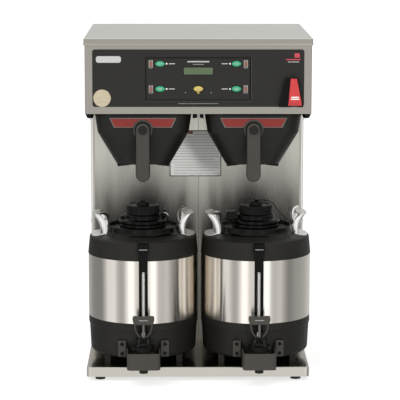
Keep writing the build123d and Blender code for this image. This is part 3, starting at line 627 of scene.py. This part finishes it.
def side_handle(word, place, side):
    """Bright formed handle: strap on the shoulder, two bent legs, a rail and a rounded top plate."""
    name, body = f"{word}_{side_name(side)}_handle", word + "_satellite"
    turn = place if side > 0 else place @ Matrix.Rotation(math.pi, 4, "Z")
    bend = [(0.0905, 0.1000, 0.3290), (0.0865, 0.1006, 0.3330), (0.0842, 0.1004, 0.3390),
            (0.0836, 0.1004, 0.3460), (0.0846, 0.1016, 0.3550), (0.0876, 0.1044, 0.3630),
            (0.0918, 0.1084, 0.3700), (0.0970, 0.1125, 0.3755), (0.1050, 0.1165, 0.3800)]
    legs = []
    for end, y in (("front", -GRIP_HALF), ("rear", GRIP_HALF - STRAP_THICK)):
        rows = [(x0, x1, y, z) for x0, x1, z in bend]
        legs.append(ribbon(f"{name}_{end}_leg", rows, STRAP_THICK, 0.0035, "bright_steel", body,
                           turn))
    rail = [(0.0900, -0.034, 0.3560), (0.0862, -0.022, 0.3600), (0.0852, -0.004, 0.3680),
            (0.0872, 0.014, 0.3770), (0.0925, 0.028, 0.3830), (0.1030, 0.034, 0.3850)]
    wire(name + "_rail", rail, 0.0046, "bright_steel", body, turn)
    grip = soften([(0.1000, -GRIP_HALF), (0.1130, -GRIP_HALF - 0.001), (0.1195, -0.020), (0.1205, 0.0),
                   (0.1195, 0.020), (0.1130, GRIP_HALF + 0.001), (0.1000, GRIP_HALF), (0.0960, 0.020),
                   (0.0950, 0), (0.0960, -0.020)], 0.02)
    slab(name + "_top", grip, 0.3775, 0.3805, "bright_steel", body, 0.0012, turn)
    shoulder_strap(name + "_foot", 0.0965, 0.1225, 23, body, turn)
    return legs[0]


def gauge(word, place):
    """Clamp block over the sight tube, the pale strip behind it and the shield's two beads."""
    body, face, behind = word + "_satellite", -BAND_R - 0.0175, -BAND_R - 0.0055
    plate(word + "_gauge_strip", rectangle(-0.0042, 0.0042, 0.124, 0.2585, 0.0006), behind, behind + 0.0006,
          "gauge_backing", body, 0.0002, place)
    for low, high, half in ((0.3215, 0.3275, 0.0112), (0.3130, 0.3185, 0.0130), (0.3050, 0.3100, 0.0118)):
        plate(f"{word}_gauge_clamp_{round(low * 1e4)}", rectangle(-half, half, low, high, 0.002),
              face - 0.0015, face + 0.012, "gloss_black", body, 0.0009, place)
    plate(word + "_gauge_mark", rectangle(-0.0095, 0.0095, 0.3142, 0.3158, 0.0005), face - 0.0018,
          face - 0.0013, "gray_print", body, PRINT, place)
    for side in (-1, 1):
        x = side * 0.0065
        plate(f"{word}_gauge_bead_{side_name(side)}", rectangle(x - 0.0011, x + 0.0011, 0.122, 0.303, 0.001),
              face + 0.0012, face + 0.0045, "gloss_black", body, 0.0008, place)


def bonnet(word, place):
    """Fluted nut round the faucet's stem, and four ribs above it."""
    body, here = word + "_satellite", place @ Matrix.Translation((0, -FAUCET_OUT, 0))
    nut = [(0.0152, 0.0835), (0.0250, 0.0835), (0.0262, 0.0848), (0.0262, 0.0925), (0.0252, 0.0945),
           (0.0205, 0.0955), (0.0165, 0.0975), (0.0152, 0.0990)]
    lathe(word + "_ring_nut", nut, "gloss_black", body, here, 192, 40, flutes=24,
          flute_depth=0.0009, fluted=(2, 3))
    for side in (-1, 1):
        for row, high in enumerate((0.1085, 0.1135)):
            x, y = side * (0.0145 + 0.0012 * row), -0.006 + 0.007 * row
            plate(f"{word}_bonnet_rib_{side_name(side)}_{row}",
                  rectangle(x - 0.0016, x + 0.0016, 0.098, high, 0.0012), y, y + 0.004, "gloss_black", body,
                  0.0008, here)


def faucet_lever(word, place):
    """Wine-glass paddle: two curved arms, a middle rib painted lighter as a highlight, and a broad grip with
    a dished top edge.
    """
    here = place @ Matrix.Translation((0, -FAUCET_OUT, 0))
    body = word + "_faucet_lever"

    def part(name, outline, y0, y1, finish, bevel):
        return plate(f"{word}_lever_{name}", outline, y0, y1, finish, body, bevel, here)

    for side in (-1, 1):
        outer = [(0.0077, 0.104), (0.0077, 0.1125), (0.0150, 0.120), (0.0198, 0.130), (0.0220, 0.146)]
        inner = [(0.0185, 0.146), (0.0165, 0.131), (0.0120, 0.121), (0.0050, 0.114), (0.0050, 0.104)]
        outline = soften([(side * x, z) for x, z in outer + inner], 0.006)
        part("arm_" + side_name(side), outline, -0.0035, 0.0035, "gray_plastic", 0.001)
    # the rib's lighter gray is a painted highlight
    part("rib", rectangle(-0.0026, 0.0026, 0.104, 0.147, 0.001), -0.0045, 0.0035, "lever_rib", 0.0008)
    hub = part("hub", rectangle(-0.0078, 0.0078, 0.1015, 0.1150, 0.003), -0.0045, 0.0045, "gloss_black",
               0.0012)
    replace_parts(hub, word + "_faucet_lever")
    grip = soften([(-0.0215, 0.1435), (0.0215, 0.1435), (0.0253, 0.1535), (0.0250, 0.1622), (0.0200, 0.1640),
                   (0.0, 0.1622), (-0.0200, 0.1640), (-0.0250, 0.1622), (-0.0253, 0.1535)], 0.005)
    part("grip", grip, -0.006, 0.004, "gray_plastic", 0.0016)
    part("mark", rectangle(-0.0105, 0.0105, 0.1532, 0.1550, 0.0006), -0.0064, -0.0059, "gray_print", PRINT)
    pin = [(0.0, -0.0128), (0.003, -0.0128), (0.003, 0.0128), (0.0, 0.0128)]
    lathe(word + "_lever_pin", pin, "bright_steel", body,
          here @ Matrix.Translation((0, 0, PIVOT_HIGH)) @ Matrix.Rotation(math.pi / 2, 4, "Y"), 32)


def faucet_guard(word, place):
    """Rounded guard cup with its two wings, screw plates and screws."""
    body = word + "_satellite"
    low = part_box(word + "_faucet_guard")[0].z
    front, back, half, wall = -0.190, -0.1245, 0.0385, 0.003

    def side_line(gap):
        return soften([(-half + gap, back), (-half + gap, front + gap), (half - gap, front + gap),
                       (half - gap, back)], 0.0115 - gap, 8, closed=False)

    cup = slab(word + "_guard_cup", side_line(0) + side_line(wall)[::-1], low, 0.0795, "gray_plastic", body,
               0.0009, place)
    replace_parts(cup, word + "_faucet_guard")
    for side in (-1, 1):
        label = side_name(side)
        x0, x1 = sorted((side * 0.0402, side * 0.059))
        plate(f"{word}_guard_plate_{label}", rectangle(x0, x1, 0.058, 0.096, 0.0025), PAD_FACE,
              PAD_FACE + 0.0026, "gray_plastic", body, 0.0007, place)
        wing = [(0.0345, 0.058), (0.0410, 0.058), (0.0410, 0.094), (0.0345, 0.0795)]
        plate(f"{word}_guard_wing_{label}", soften([(side * x, z) for x, z in wing], 0.002), -0.1285, -0.1222,
              "gloss_black", body, 0.0007, place)
        for z in (0.066, 0.088):
            head = [(0, -0.0022), (0.0028, -0.0022), (0.0040, -0.0010), (0.0040, 0), (0, 0)]
            spot = place @ Matrix.Translation((side * 0.050, PAD_FACE, z))
            spot = spot @ Matrix.Rotation(-math.pi / 2, 4, "X")
            lathe(f"{word}_guard_screw_{label}_{round(z * 1000)}", head, "gloss_black", body,
                  spot, 32)


def satellites():
    for word in SIDES:
        place = satellite_place(word)
        satellite_collar(word, place)
        satellite_lid(word, place)
        legs = [side_handle(word, place, side) for side in (-1, 1)]
        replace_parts(legs[0], word + "_side_handles")
        gauge(word, place)
        bonnet(word, place)
        faucet_lever(word, place)
        faucet_guard(word, place)
    lid_fittings()


# ---- brew cones ----
def place_front(x, y, z):
    """Matrix whose Z points to the front at a place."""
    return Matrix.Translation((x, y, z)) @ Matrix.Rotation(math.pi / 2, 4, "X")


def cone_front(word):
    """Handle with its boss and arch, the two feet under the cone, and the red window."""
    low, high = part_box(word + "_cone_handle")
    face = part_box(word + "_brew_cone")[0].y
    body, x, z = word + "_cone", (low.x + high.x) / 2, (low.z + high.z) / 2
    half, tall = (high.x - low.x) / 2, (high.z - low.z) / 2
    grip = plate(word + "_handle_bar", stadium(x, z, tall, half, upright=True), low.y, high.y - 0.0015,
                 "handle_gray", body, 0.003)
    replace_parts(grip, word + "_cone_handle")
    rim = stadium(x, z, tall + HANDLE_RIM, half + HANDLE_RIM, upright=True)
    plate(word + "_handle_back", rim, high.y - 0.0045, high.y, "gloss_black", body, 0.001)
    pivot = high.z - half
    boss = place_front(x, low.y - 0.0001, pivot)
    lathe(word + "_handle_boss", [(0, -0.0012), (0.0085, -0.0012), (0.0105, 0), (0.0105, 0.002), (0, 0.002)],
          "cone_plastic", body, boss, 48)
    for turn in (0, math.pi / 2):
        plate(f"{word}_boss_slot_{round(turn)}", bar(0, 0, 0.0062, 0.0009), 0.0011, 0.0016, "gloss_black",
              body, 0.0002, boss @ Matrix.Rotation(math.pi / 2, 4, "X")
              @ Matrix.Rotation(turn, 4, "Y"))
    arch = [(0.0192, -0.003), (0.0215, -0.0022), (0.0222, 0.002), (0.0222, 0.006), (0.0192, 0.006)]
    lathe(word + "_arch", arch, "handle_gray", body, place_front(x, face + 0.006, pivot), 64)
    for side in (-1, 1):
        foot = [(0.0612, 0.5045), (0.031, 0.5045), (0.031, 0.4993), (0.0600, 0.4962)]
        plate(f"{word}_cone_foot_{side_name(side)}", [(x + side * out, z) for out, z in foot], face + 0.062,
              face + 0.067, "gloss_black", body, 0.0006)
    window(word, body, Matrix.Translation((x, face + 0.0057, WINDOW_MIDDLE))
           @ Matrix.Rotation(WINDOW_TILT, 4, "X"))


def window(word, body, tilt):
    """Trapezoid red band and its gray frame, with an arch cut out over the handle."""
    top, low, wide, narrow, edge = 0.0105, -0.0125, 0.0770, 0.0665, 0.0018
    arch_z, arch_r, steps = -0.0177, 0.0225, 16

    def outline(gap):
        radius, floor = arch_r + gap, low + gap
        start = math.asin((floor - arch_z) / radius)
        angles = [math.pi - start - (math.pi - 2 * start) * k / steps for k in range(steps + 1)]
        arch = [(radius * math.cos(a), arch_z + radius * math.sin(a)) for a in angles]
        upper, lower = wide - gap * 1.6, narrow - gap * 1.6
        return [(-upper, top - gap), (-lower, floor), *arch, (lower, floor), (upper, top - gap)]

    plate(word + "_window_frame", outline(0), -0.0016, 0.002, "window_gray", body, 0.0004,
          tilt)
    plate(word + "_window", outline(edge), -0.0021, 0.001, "red_band", body, 0.0003, tilt)


# ---- cabinet trim ----
def cover_hem():
    """Folded hem in lighter steel, a painted highlight, that shows as a brighter line along the cover's lower
    edge.
    """
    low, high, proud, tall = COVER_LOW, COVER_HIGH, 0.0006, 0.0042

    def three_sides(out):
        return [(low.x - out, high.y), (low.x - out, low.y - out), (high.x + out, low.y - out),
                (high.x + out, high.y)]

    outline = soften(three_sides(proud), 0.003, closed=False)
    outline += soften(three_sides(-proud), 0.002, closed=False)[::-1]
    # lighter steel painted as the hem's highlight
    slab("cover_hem", outline, low.z, low.z + tall, "steel_edge", "frame", 0.0004)


def corner_trims():
    """Black corner pieces and rail ends under the head."""
    z, front = HEAD_LOW.z, HEAD_LOW.y + 0.003
    for side in (-1, 1):
        edge = HEAD_LOW.x if side < 0 else HEAD_HIGH.x
        outline = [(edge - side * back, z - drop)
                   for back, drop in ((0.0008, 0.0002), (0.0127, 0.0002), (0.0122, 0.0108), (0.005, 0.0095))]
        plate("head_corner_" + side_name(side), soften(outline, 0.0012), front, front + 0.017,
              "gloss_black", "frame", 0.0008)
    for x, half in ((-0.0052, 0.0032), (0.0058, 0.0026)):
        plate("rail_end_" + side_name(x), rectangle(x - half, x + half, z - 0.0092, z - 0.0002, 0.0006),
              front, front + 0.011, "gloss_black", "frame", 0.0005)


def info_plate():
    """Blank information plate on the column: white, with plain gray bars, a red tab and a dark border."""
    x0, x1, _, z1 = INFO_PLATE

    def layer(name, outline, front, back, finish, slot, bevel=PRINT):
        plate("info_" + name, outline, COLUMN_FACE - front, COLUMN_FACE + back, finish, "frame", bevel)

    layer("border", inset(INFO_PLATE, 0, 0.004), 0.0006, 0.0002, "gray_dark", "panel_black", 0.0002)
    layer("sheet", inset(INFO_PLATE, 0.0024, 0.003), 0.0010, -0.0003, "label_white", "silicone_hose", 0.0002)
    tab_left, tab_right = -0.0215, -0.0105
    layer("tab", rectangle(tab_left, tab_right, z1 - 0.0090, z1 - 0.0004, 0.0005), 0.0013, -0.0008,
          "red_band", "red_plastic")
    rows, pitch, indented = 15, 0.0068, 4
    for row in range(rows):
        z = z1 - 0.010 - pitch * row
        start = x0 + (0.012 if row >= rows - indented else 0.006)
        if row == 0:
            start = tab_right + 0.0025
        end = x1 - 0.005 - 0.012 * ((row * 7) % 4 == 3)
        layer(f"bar_{row}", rectangle(start, end, z - 0.0007, z + 0.0007), 0.0012, -0.0008, "soft_print",
              "panel_black")


def column_edges():
    """Bright steel strips down both sides of the column: a painted highlight on its folded edges."""
    for side in (-1, 1):
        x0, x1 = sorted((side * COLUMN_EDGE, side * (COLUMN_EDGE - 0.0036)))
        # bright steel painted as the folds' highlight
        plate("column_edge_" + side_name(side), rectangle(x0, x1, BASE_TOP, HEAD_LOW.z, 0.0002),
              COLUMN_FACE - 0.0028, COLUMN_FACE - 0.0018, "bright_steel", "frame",
              0.0003)


# ---- control panel print and keys ----
def printed(name, outline, finish="white_print", depth=FIELD_FLOOR):
    """Thin print on the floor of the keypad field, or at another depth."""
    plate(name, outline, depth - 0.0003, depth + 0.0001, finish, "frame", PRINT)


def keypad_field():
    """Dark edges of the sunk field, the glints beside two of them, and the display with its rim."""
    x0, x1, z0, z1 = FIELD
    edges = {"left": (x0, x0 + 0.0016, z0, z1), "right": (x1 - 0.0030, x1, z0, z1),
             "top": (x0, x1, z1 - 0.0016, z1), "bottom": (x0, x1, z0, z0 + 0.0024)}
    for name, edge in edges.items():
        plate("field_line_" + name, rectangle(*edge), PANEL_FACE - 0.0002, FIELD_FLOOR, "gloss_black",
              "frame", 0.0002)
    for name, edge in (("right", (x1, x1 + 0.0010, z0, z1)), ("bottom", (x0, x1, z0 - 0.0009, z0))):
        plate("field_glint_" + name, rectangle(*edge), PANEL_FACE - 0.0003, PANEL_FACE + 0.0002,
              "field_glint", "frame", PRINT)
    plate("display_face", inset(DISPLAY, 0, 0.0005), HEAD_LOW.y - 0.0010, HEAD_LOW.y - 0.0007,
          "display_green", "frame", PRINT)
    x0, x1, z0, z1 = -0.0345, 0.0345, 0.7153, 0.7337
    rim = [(x0, x1, z1 - 0.001, z1), (x0, x1, z0, z0 + 0.001), (x0, x0 + 0.001, z0, z1),
           (x1 - 0.001, x1, z0, z1)]
    for k, edge in enumerate(rim):
        printed(f"display_rim_{k}", rectangle(*edge), "gloss_black")


def key_prints():
    """Lamp, plain bar and server icon beside each green key, and the marks round the yellow one."""
    for side in (-1, 1):
        for row, z in (("top", 0.7412), ("low", 0.6836)):
            tag = f"{side_name(side)}_{row}"
            printed("lamp_" + tag, bar(side * 0.0722, z, 0.0017, 0.0017, 0.0004))
            printed("key_bar_" + tag, bar(side * 0.0602, z, 0.0068, 0.0011, 0.0005), "soft_print")
            server_icon(tag, side * 0.1082, z)
        printed("dot_" + side_name(side), disc(side * 0.0295, 0.6752, 0.0012, 16), "gray_print")
    printed("select_pointer", [(-0.0030, 0.6762), (0.0030, 0.6762), (0.0, 0.6720)], "yellow_key")
    printed("title_bar", rectangle(-0.025, 0.025, 0.7444, 0.7474, 0.0008), "soft_print")
    printed("title_line", rectangle(-0.0125, 0.0125, 0.7392, 0.7404, 0.0003), "gray_print")


def server_icon(tag, x, z):
    """Small picture of a server: gray outline, dark red body, knob on top."""
    raised = PANEL_FACE + 0.0008
    printed("icon_frame_" + tag, rectangle(x - 0.0046, x + 0.0046, z - 0.0100, z + 0.0085, 0.0018),
            "gray_print")
    parts = [("body", 0.0034, -0.0062, 0.0045, 0.0008, "icon_red"),
             ("band", 0.0034, -0.0088, -0.0070, 0.0004, "gloss_black"),
             ("top", 0.0020, 0.0055, 0.0078, 0.0006, "gloss_black")]
    for name, half, low, high, radius, finish in parts:
        printed(f"icon_{name}_{tag}", rectangle(x - half, x + half, z + low, z + high, radius), finish,
                raised)


def badges():
    """Blank name plate, plain red and pale marks in place of the panel's other print, and the sticker."""
    printed("foot_line", rectangle(-0.046, 0.046, 0.6497, 0.6505), "gray_print", PANEL_FACE)
    printed("name_plate", rectangle(-0.2330, -0.1760, 0.7435, 0.7585, 0.006), "name_plate", PANEL_FACE)
    printed("badge_bar_red", rectangle(0.1990, 0.2330, 0.7495, 0.7520, 0.0008), "badge_red", PANEL_FACE)
    printed("badge_square", rectangle(0.2190, 0.2310, 0.7550, 0.7650, 0.0015), "badge_red", PANEL_FACE)
    printed("badge_bar_white", rectangle(0.2040, 0.2300, 0.7445, 0.7460, 0.0005), "soft_print", PANEL_FACE)
    sticker(-0.2195, 0.6625, 0.0199)


def sticker(x, z, radius):
    """Plain round cream sticker with a fine rim line and three faint bars."""
    plate("sticker", disc(x, z, radius, 64), PANEL_FACE - 0.0006, PANEL_FACE, "cream", "frame",
          0.0002)
    rim = [(radius - 0.0024, 0), (radius - 0.0017, 0), (radius - 0.0017, 0.0003), (radius - 0.0024, 0.0003)]
    lathe("sticker_rim", rim, "sticker_print", "frame",
          place_front(x, PANEL_FACE - 0.0005, z), 64)
    for k, (half, rise) in enumerate(((0.0150, 0.0005), (0.0085, -0.0060), (0.0110, -0.0085))):
        plate(f"sticker_bar_{k}", bar(x, z + rise, half, 0.0006), PANEL_FACE - 0.0008, PANEL_FACE - 0.0005,
              "sticker_print", "frame", PRINT)


def dome(centre, front, half_x, half_z, rings=5, steps=48):
    """Vertices and faces of an oval key top that bulges to the front."""
    verts, faces = [(centre.x, front - 0.0012, centre.z)], []
    for ring in range(1, rings + 1):
        t = ring / rings
        for s in range(steps):
            a = 2 * math.pi * s / steps
            verts.append((centre.x + half_x * t * math.cos(a), front + 0.0006 - 0.0018 * (1 - t * t) ** 0.5,
                          centre.z + half_z * t * math.sin(a)))
    faces += [(0, 1 + (s + 1) % steps, 1 + s) for s in range(steps)]
    for ring in range(rings - 1):
        for s in range(steps):
            a, b = 1 + ring * steps + s, 1 + ring * steps + (s + 1) % steps
            faces.append((a, b, b + steps, a + steps))
    back = len(verts)
    verts += [(x, front + 0.0015, z) for x, _, z in verts[-steps:]]
    for s in range(steps):
        t = (s + 1) % steps
        faces.append((back - steps + s, back - steps + t, back + t, back + s))
    return verts, faces + [tuple(range(back, back + steps))]


def key_caps():
    """Domed oval key tops with a plain bar, each on its own moving key."""
    for name in KEYS:
        low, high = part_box(name)
        centre = (low + high) / 2
        yellow = name.startswith("select")
        finish, ink = ("yellow_key", "sticker_print") if yellow else ("green_key", "soft_print")
        verts, faces = dome(centre, low.y, 0.0105, 0.0064)
        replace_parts(piece(name + "_dome", verts, faces, finish, name, 60), name)
        plate(name + "_mark", bar(centre.x, centre.z, 0.0045, 0.0009, 0.0004), low.y - 0.0015,
              low.y - 0.0009, ink, name, PRINT)


def tap_lever():
    """Red lever, narrower at the top, whose foot turns in under it, with two plain white bars."""
    low, high = LEVER_LOW, LEVER_HIGH
    middle, lean = 0.21975, 0.00325         # middle of the foot, and how far left of it the top stands
    face, back = low.y, low.y + 0.0055
    rows = [(low.z, 0.01575, middle, face + 0.0045), (low.z + 0.0085, 0.0146, middle, face),
            (high.z, 0.0070, middle - lean, face)]
    verts = [(x + side * half, y, z) for z, half, x, y in rows for side in (-1, 1)]
    verts += [(x + side * half, back, z) for z, half, x, _ in rows for side in (-1, 1)]
    faces = [(0, 1, 3, 2), (2, 3, 5, 4), (7, 6, 8, 9), (9, 8, 10, 11), (0, 2, 8, 6), (2, 4, 10, 8),
             (3, 1, 7, 9), (5, 3, 9, 11), (4, 5, 11, 10), (1, 0, 6, 7)]
    lever = piece("tap_lever_shell", verts, faces, "red_plastic", "hot_water_lever", 20,
                  0.0008)
    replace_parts(lever, "hot_water_lever")
    plate("tap_lever_arm", rectangle(0.212, 0.222, 0.6995, 0.7058, 0.001), back - 0.0005, face + 0.014,
          "red_plastic", "hot_water_lever", 0.0005)
    for k, (z, half) in enumerate(((0.6668, 0.0088), (0.6626, 0.0098))):
        plate(f"tap_lever_bar_{k}", bar(middle, z, half, 0.0013, 0.0006), face - 0.0004, face + 0.0002,
              "white_print", "hot_water_lever", PRINT)


# ---- floor, light and camera ----
def floor():
    """White floor that takes a soft shadow and isn't seen in reflections."""
    mesh = bpy.data.meshes.new("floor")
    corners = [(-1, -1), (1, -1), (1, 1), (-1, 1)]
    mesh.from_pydata([(x * FLOOR_SIZE, y * FLOOR_SIZE, 0) for x, y in corners], [], [(0, 1, 2, 3)])
    ground = bpy.data.objects.new("floor", mesh)
    bpy.context.scene.collection.objects.link(ground)
    s = Shade("floor_pale", (0.62, 0.62, 0.62), 0.8)
    s.tint(s.noise(3.0), 0.995, 1.0)
    seen = s.add("ShaderNodeLightPath").outputs["Is Camera Ray"]
    veil = s.add("ShaderNodeMapRange", {"To Max": FLOOR_GLOW, "Value": seen})
    glow = s.add("ShaderNodeEmission", {"Color": (1, 1, 1, 1), "Strength": veil.outputs["Result"]})
    both = s.add("ShaderNodeAddShader", {0: s.bsdf.outputs[0], 1: glow.outputs[0]})
    feed(s.tree.nodes["Material Output"], {"Surface": both.outputs[0]})
    mesh.materials.append(s.mat)
    ground.visible_glossy = False


def lamps():
    """Soft key and fill lights aimed at the machine's middle."""
    for name, energy, size, place in LAMPS:
        light = bpy.data.lights.new(name, "AREA")
        light.energy = energy
        light.size = size
        lamp = bpy.data.objects.new(name, light)
        lamp.location = place
        lamp.rotation_euler = (Vector((0, 0, 0.4)) - lamp.location).to_track_quat("-Z", "Y").to_euler()
        lamp.visible_glossy = False
        bpy.context.scene.collection.objects.link(lamp)


def surround():
    """World whose brightness changes with azimuth, and which the camera sees as plain white."""
    world = bpy.data.worlds.new("studio")
    world.use_nodes = True
    bpy.context.scene.world = world
    tree = world.node_tree
    tree.nodes.clear()

    def add(kind, inputs=None, **settings):
        return new_node(tree, kind, inputs, **settings)

    def background(strength, color=(1, 1, 1, 1)):
        return add("ShaderNodeBackground", {"Color": color, "Strength": strength}).outputs[0]

    def blend(factor, first, second):
        return add("ShaderNodeMixShader", {0: factor, 1: first, 2: second}).outputs[0]

    split = add("ShaderNodeSeparateXYZ", {0: add("ShaderNodeTexCoord").outputs["Generated"]})
    flip = add("ShaderNodeMath", {0: split.outputs["Y"], 1: -1}, operation="MULTIPLY")
    angle = add("ShaderNodeMath", {0: split.outputs["X"], 1: flip.outputs[0]}, operation="ARCTAN2")
    unit = add("ShaderNodeMapRange", {"From Min": -math.pi, "From Max": math.pi, "Value": angle.outputs[0]})
    ramp = add("ShaderNodeValToRGB", {"Fac": unit.outputs["Result"]})
    stops = ramp.color_ramp.elements
    peak = max(level for _, level in SURROUND)
    for _ in range(len(SURROUND) - 2):
        stops.new(0.5)
    for stop, (azimuth, level) in zip(stops, SURROUND):
        stop.position = (azimuth + 180) / 360
        stop.color = (level / peak, level / peak, level / peak, 1)
    height = add("ShaderNodeMapRange", {"From Min": 0.25, "From Max": 0.7, "Value": split.outputs["Z"]},
                 interpolation_type="SMOOTHSTEP")
    striped = background(peak * SURROUND_LEVEL, ramp.outputs["Color"])
    sky = blend(height.outputs["Result"], striped, background(OVERHEAD_LEVEL))
    seen = add("ShaderNodeLightPath").outputs["Is Camera Ray"]
    add("ShaderNodeOutputWorld", {"Surface": blend(seen, sky, background(1.0))})


def camera():
    data = bpy.data.cameras.new("camera")
    data.sensor_width = 36
    data.lens = CAMERA_LENS
    data.clip_end = 100
    eye = bpy.data.objects.new("camera", data)
    turn = Matrix.Rotation(math.radians(-CAMERA_RIGHT), 4, "Z")
    turn = turn @ Matrix.Rotation(math.radians(90 - CAMERA_DOWN), 4, "X")
    turn = turn @ Matrix.Rotation(math.radians(CAMERA_ROLL), 4, "Z")
    eye.matrix_world = Matrix.Translation(CAMERA_PLACE) @ turn
    bpy.context.scene.collection.objects.link(eye)
    bpy.context.scene.camera = eye
    bpy.context.scene.view_settings.view_transform = "Standard"


finish_cad()
satellites()
for word in SIDES:
    cone_front(word)
cover_hem()
corner_trims()
info_plate()
column_edges()
keypad_field()
key_prints()
badges()
key_caps()
tap_lever()
floor()
surround()
lamps()
camera()
